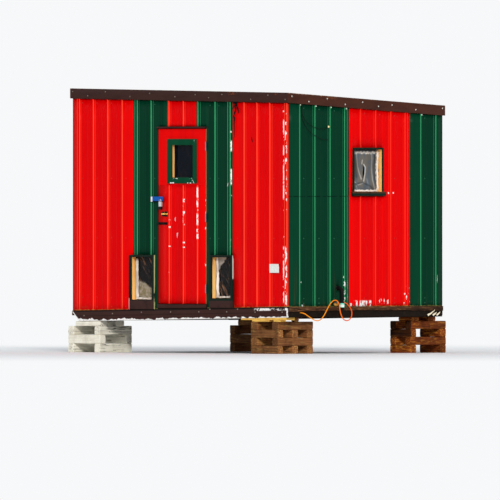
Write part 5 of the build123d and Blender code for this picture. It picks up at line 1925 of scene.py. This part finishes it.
@dataclass(frozen=True)
class CordRun:
    """A cord on the right wall: its CAD node, finish, radius, route in millimetres and facts."""

    node: str
    finish: Plastic
    slot: str
    radius: float
    route: tuple[tuple[float, float, float], ...]
    stiffness: str
    lay: str
    far_end: str

    def build(self, paints: Paintbox) -> None:
        """Make the cord as a smooth curve through the same route as the CAD node."""
        points = [Wall.RIGHT.at(along / 1000, out / 1000, up / 1000) for out, along, up in self.route]
        curve = bpy.data.curves.new(self.node + "_curve", "CURVE")
        curve.dimensions = "3D"
        curve.bevel_depth = self.radius
        curve.bevel_resolution = 5
        curve.resolution_u = 8
        curve.use_fill_caps = True
        spline = curve.splines.new("NURBS")
        spline.points.add(len(points) - 1)
        for spot, point in zip(spline.points, points):
            spot.co = (*point, 1.0)
        spline.order_u = 3
        spline.use_endpoint_u = True
        cord = bpy.data.objects.new(self.node + "_lay", curve)
        bpy.context.scene.collection.objects.link(cord)
        curve.materials.append(paints.get(self.finish))
        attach(cord, "hut")
        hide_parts(self.node)
        length = self.length(points)
        2 * self.radius
        log.info("%s: %.3f m long", self.node, length)

    @staticmethod
    def length(points: Sequence[Vector]) -> float:
        """Return the length of the smooth curve, whose pieces are parabolas between midpoints."""
        middles = [points[0], *[(a + b) / 2 for a, b in zip(points[1:-1], points[2:-1])], points[-1]]
        total = 0.0
        for start, corner, end in zip(middles, points[1:-1], middles[1:]):
            last = start
            for k in range(1, 13):
                t = k / 12
                spot = start * (1 - t) ** 2 + corner * (2 * t * (1 - t)) + end * t * t
                total += (spot - last).length
                last = spot
        return total


ORANGE_ROUTE = (
    (0, 172, 446), (18, 172, 446), (35, 177, 443), (49, 190, 437), (56, 210, 425), (57, 251, 402), (56, 302, 378),
    (55, 352, 360), (56, 402, 359), (55, 444, 380), (52, 482, 416), (50, 514, 458), (50, 543, 500), (50, 569, 533),
    (50, 597, 560), (52, 621, 576), (57, 644, 582), (64, 664, 575), (72, 677, 558), (80, 683, 532), (88, 683, 498),
    (97, 681, 458), (105, 688, 418), (107, 708, 385), (102, 741, 365), (93, 781, 357), (83, 821, 361), (73, 859, 379),
    (65, 886, 410), (61, 894, 449), (60, 879, 488), (60, 846, 521), (59, 822, 539), (48, 805, 552), (27, 796, 559),
    (1.5, 796, 559),
)
UPPER_WIRE_ROUTE = (
    (22.3, 178, 2707.2), (24, 174, 2660), (26, 175, 2613), (27, 191, 2570), (27, 219, 2533), (26, 256, 2504),
    (26, 293, 2482), (26, 332, 2464), (26, 374, 2451), (26, 417, 2441), (26, 460, 2437), (26, 503, 2440),
    (24, 546, 2452), (20, 569, 2459), (3.5, 588, 2463),
)
LOWER_WIRE_ROUTE = (
    (22.3, 166, 2707.8), (24, 162, 2660), (26, 162, 2612), (28, 171, 2565), (29, 189, 2521), (30, 214, 2480),
    (30, 245, 2443), (30, 282, 2411), (30, 323, 2385), (29, 367, 2363), (28, 412, 2345), (27, 458, 2331),
    (26, 504, 2322), (24, 549, 2318), (20, 571, 2318), (3.5, 590, 2319),
)
CORDS = (
    CordRun("orange_cord", ORANGE, "cord_orange", 0.0055, ORANGE_ROUTE, "medium", "hanging", "object"),
    CordRun("upper_wire", BLACK_WIRE, "wire_black", 0.0025, UPPER_WIRE_ROUTE, "medium", "hanging", "object"),
    CordRun("lower_wire", BLACK_WIRE, "wire_black", 0.0025, LOWER_WIRE_ROUTE, "medium", "hanging", "object"),
)


# Stage


@dataclass
class Stage:
    """Camera, floor, world and light."""

    paints: Paintbox
    sky: Colour = (0.93, 0.94, 0.95)
    distance: float = 250.0
    lens: float = 1663.0

    def camera(self) -> None:
        """Put the camera at the photograph's viewing angle."""
        back = Vector((0.7218, -0.6921, 0.0))
        across = Vector((0.6921, 0.7218, 0.0))
        aim = Vector((RIGHT_X, FRONT_Y, 1.1263)) - across * 0.4189
        seat = Vector((aim.x, aim.y, 0.0)) + back * self.distance
        seat.z = 2.049
        data = bpy.data.cameras.new("camera")
        data.sensor_width = 36.0
        data.lens = self.lens
        data.clip_end = 800.0
        camera = bpy.data.objects.new("camera", data)
        camera.location = seat
        camera.rotation_euler = (aim - seat).to_track_quat("-Z", "Y").to_euler()
        bpy.context.scene.collection.objects.link(camera)
        bpy.context.scene.camera = camera

    def floor(self) -> None:
        """Lay a pale disc that fades into the background."""
        shape = bmesh.new()
        bmesh.ops.create_circle(shape, cap_ends=True, segments=96, radius=40.0)
        mesh = bpy.data.meshes.new("floor")
        shape.to_mesh(mesh)
        shape.free()
        floor = bpy.data.objects.new("floor", mesh)
        bpy.context.scene.collection.objects.link(floor)
        s = Shader("floor_pale")
        place = s.place()
        x, y, _ = s.parts(place)
        far = (x * x + y * y).power(0.5).step(3.5, 13.0)
        rays = s.node("ShaderNodeLightPath", out="Is Camera Ray")
        soft = s.noise(place, 2.0, 3.0)
        tone = s.mix(soft * 0.3, (0.92, 0.93, 0.94), (0.88, 0.89, 0.90))
        matte = s.node("ShaderNodeBsdfPrincipled", None, {"Base Color": tone, "Roughness": 0.85})
        glow = s.node("ShaderNodeEmission", None, {"Color": self.sky, "Strength": 1.0})
        s.node_output(s.node("ShaderNodeMixShader", None, {0: far * rays, 1: matte, 2: glow}))
        mesh.materials.append(s.material)

    def world(self) -> None:
        """Show a pale background, and light the object softly from all round."""
        world = bpy.data.worlds.new("soft_sky")
        bpy.context.scene.world = world
        world.use_nodes = True
        tree = world.node_tree
        tree.nodes.clear()
        path = tree.nodes.new("ShaderNodeLightPath")
        seen = tree.nodes.new("ShaderNodeMath")
        seen.operation = "MAXIMUM"
        both = tree.nodes.new("ShaderNodeMath")
        both.operation = "MAXIMUM"
        tree.links.new(path.outputs["Is Camera Ray"], seen.inputs[0])
        tree.links.new(path.outputs["Is Glossy Ray"], seen.inputs[1])
        tree.links.new(seen.outputs[0], both.inputs[0])
        tree.links.new(path.outputs["Is Transmission Ray"], both.inputs[1])
        shown = tree.nodes.new("ShaderNodeBackground")
        shown.inputs["Color"].default_value = (*self.sky, 1.0)
        light = tree.nodes.new("ShaderNodeBackground")
        light.inputs["Color"].default_value = (0.90, 0.95, 1.0, 1.0)
        light.inputs["Strength"].default_value = 0.62
        mix = tree.nodes.new("ShaderNodeMixShader")
        output = tree.nodes.new("ShaderNodeOutputWorld")
        tree.links.new(both.outputs[0], mix.inputs[0])
        tree.links.new(light.outputs[0], mix.inputs[1])
        tree.links.new(shown.outputs[0], mix.inputs[2])
        tree.links.new(mix.outputs[0], output.inputs["Surface"])

    def sun(self) -> None:
        """Add a soft sun from the right of the front."""
        data = bpy.data.lights.new("soft_sun", "SUN")
        data.energy = 1.85
        data.angle = math.radians(9.0)
        data.color = (1.0, 0.97, 0.92)
        sun = bpy.data.objects.new("soft_sun", data)
        towards = Vector((0.7306, -0.571, 0.375))
        sun.rotation_euler = towards.to_track_quat("Z", "Y").to_euler()
        bpy.context.scene.collection.objects.link(sun)


SOFTENED = {
    "fascia_front_and_back": (BROWN, "brown_trim", "hut", 0.003), "fascia_sides": (BROWN, "brown_trim", "hut", 0.003),
    "skirt_trims": (BROWN, "brown_trim", "hut", 0.0012), "rim_boards": (RIM_TIMBER, "floor_timber", "hut", 0.003),
    "door_frame": (JAMB, "wall_timber", "hut", 0.002), "drip_cap": (BROWN, "brown_trim", "hut", 0.0015),
    "threshold_trim": (BROWN, "brown_trim", "hut", 0.003), "low_window_casings": (LOW_CASING, "dark_casing", "hut", 0.003),
    "side_window_casing": (SIDE_CASING, "dark_casing", "hut", 0.003), "door_window_casing": (GREEN_CASING, "green_casing", "door", 0.003),
    "window_linings": (FRESH, "fresh_wood", "hut", 0.001), "door_window_lining": (FRESH, "fresh_wood", "door", 0.001),
    "door_leaf": (WALL_TIMBER, "wall_timber", "door", 0.002), "hasp": (BLUE, "hasp_blue", "door", 0.001),
    "padlock": (STEEL, "lock_steel", "door", 0.0022), "door_bolt": (IRON, "bolt_iron", "door", 0.001),
    "runners": (FLOOR_TIMBER, "floor_timber", "hut", 0.003), "floor_joists": (FLOOR_TIMBER, "floor_timber", "hut", 0.002),
}


def slots(record: dict[str, Any]) -> dict[str, str]:
    """Return each CAD node's material slot.

    Args:
        record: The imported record.

    Returns:
        Slots by node.
    """
    return {part["node"]: part["material_slot"] for part in record["subparts"]}


def dress_frame(frame: dict[str, Any], paints: Paintbox) -> None:
    """Give every CAD node the finish of its slot.

    Args:
        frame: The loaded frame.
        paints: The finishes' materials.
    """
    found = slots(frame["record"])
    for node, part in frame["nodes"].items():
        part.data.materials.clear()
        part.data.materials.append(paints.get(SLOT_FINISHES[found[node]]))
    door_glass = frame["nodes"]["door_window_glass"].data
    door_glass.materials[0] = paints.get(DOOR_GLASS)


def shims(shop: Workshop) -> None:
    """Replace the fresh plank and blocks on the front right crib by sawn timbers."""
    plank = Draft()
    low_x, high_x = RIGHT_X - 0.747, RIGHT_X - 0.047
    rise = base_at(high_x) - base_at(low_x)
    Beam((low_x, FRONT_Y, base_at(low_x) - 0.018), (high_x, FRONT_Y + 0.140, base_at(high_x)), 0, rise).draw(plank, 901, 0.002, 0.001)
    shop.piece("fresh_plank", plank.mesh("fresh_plank"), SHIM, "fresh_wood", "hut", ["fresh_plank_on_crib"], smooth=False)
    blocks = Draft()
    for number, (far, near) in enumerate(((0.576, 0.309), (0.239, 0.137))):
        low_x, high_x = RIGHT_X - far, RIGHT_X - near
        top = base_at(high_x) - 0.018
        rise = base_at(high_x) - base_at(low_x)
        Beam((low_x, FRONT_Y, 0.348), (high_x, FRONT_Y + 0.090, top), 0, rise).draw(blocks, 910 + number, 0.003, 0.0012)
    shop.piece("fresh_blocks", blocks.mesh("fresh_blocks"), SHIM, "fresh_wood", "hut", ["fresh_blocks_on_crib"], smooth=False)


def pipe_fittings(shop: Workshop) -> None:
    """Add the sealing collar round the drain pipe."""
    draft = Draft()
    rings = []
    segments = 36
    for radius, out in ((0.0215, 0.0), (0.027, 0.0), (0.028, 0.002), (0.026, 0.005), (0.024, 0.008), (0.0215, 0.009)):
        rings.append([draft.add(Wall.RIGHT.at(
            0.735 + radius * math.cos(2 * math.pi * k / segments) * (1 + 0.05 * math.sin(3 * k)), GAUGE + out,
            0.712 + radius * math.sin(2 * math.pi * k / segments))) for k in range(segments)])
    rings.append(rings[0])
    for first, second in zip(rings, rings[1:]):
        for k in range(segments):
            after = (k + 1) % segments
            draft.faces.append([first[k], first[after], second[after], second[k]])
    shop.piece("pipe_collar", draft.mesh("pipe_collar"), RUBBER, "pipe_rubber")


def main() -> None:
    """Build the whole scene in order."""
    logging.basicConfig(level=logging.INFO, format="%(message)s", force=True)
    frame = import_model()
    bpy.context.scene.view_settings.view_transform = "Standard"
    paints = Paintbox()
    shop = Workshop(paints)
    stage = Stage(paints)
    stage.camera()
    for cord in CORDS:
        cord.build(paints)
    stage.floor()
    stage.world()
    stage.sun()
    dress_frame(frame, paints)
    for node, (finish, slot, body, edge) in SOFTENED.items():
        shop.softened(node, finish, slot, body, edge)
    Cladding(shop, rib_tree()).build()
    Fasteners(shop, screw_tree()).build()
    for seed, crib in enumerate(CRIBS):
        crib.build(shop, seed + 1)
    shims(shop)
    Remnants(shop).build()
    SideFilm(shop).build()
    Knob(shop).build()
    pipe_fittings(shop)


if __name__ == "__main__":
    main()
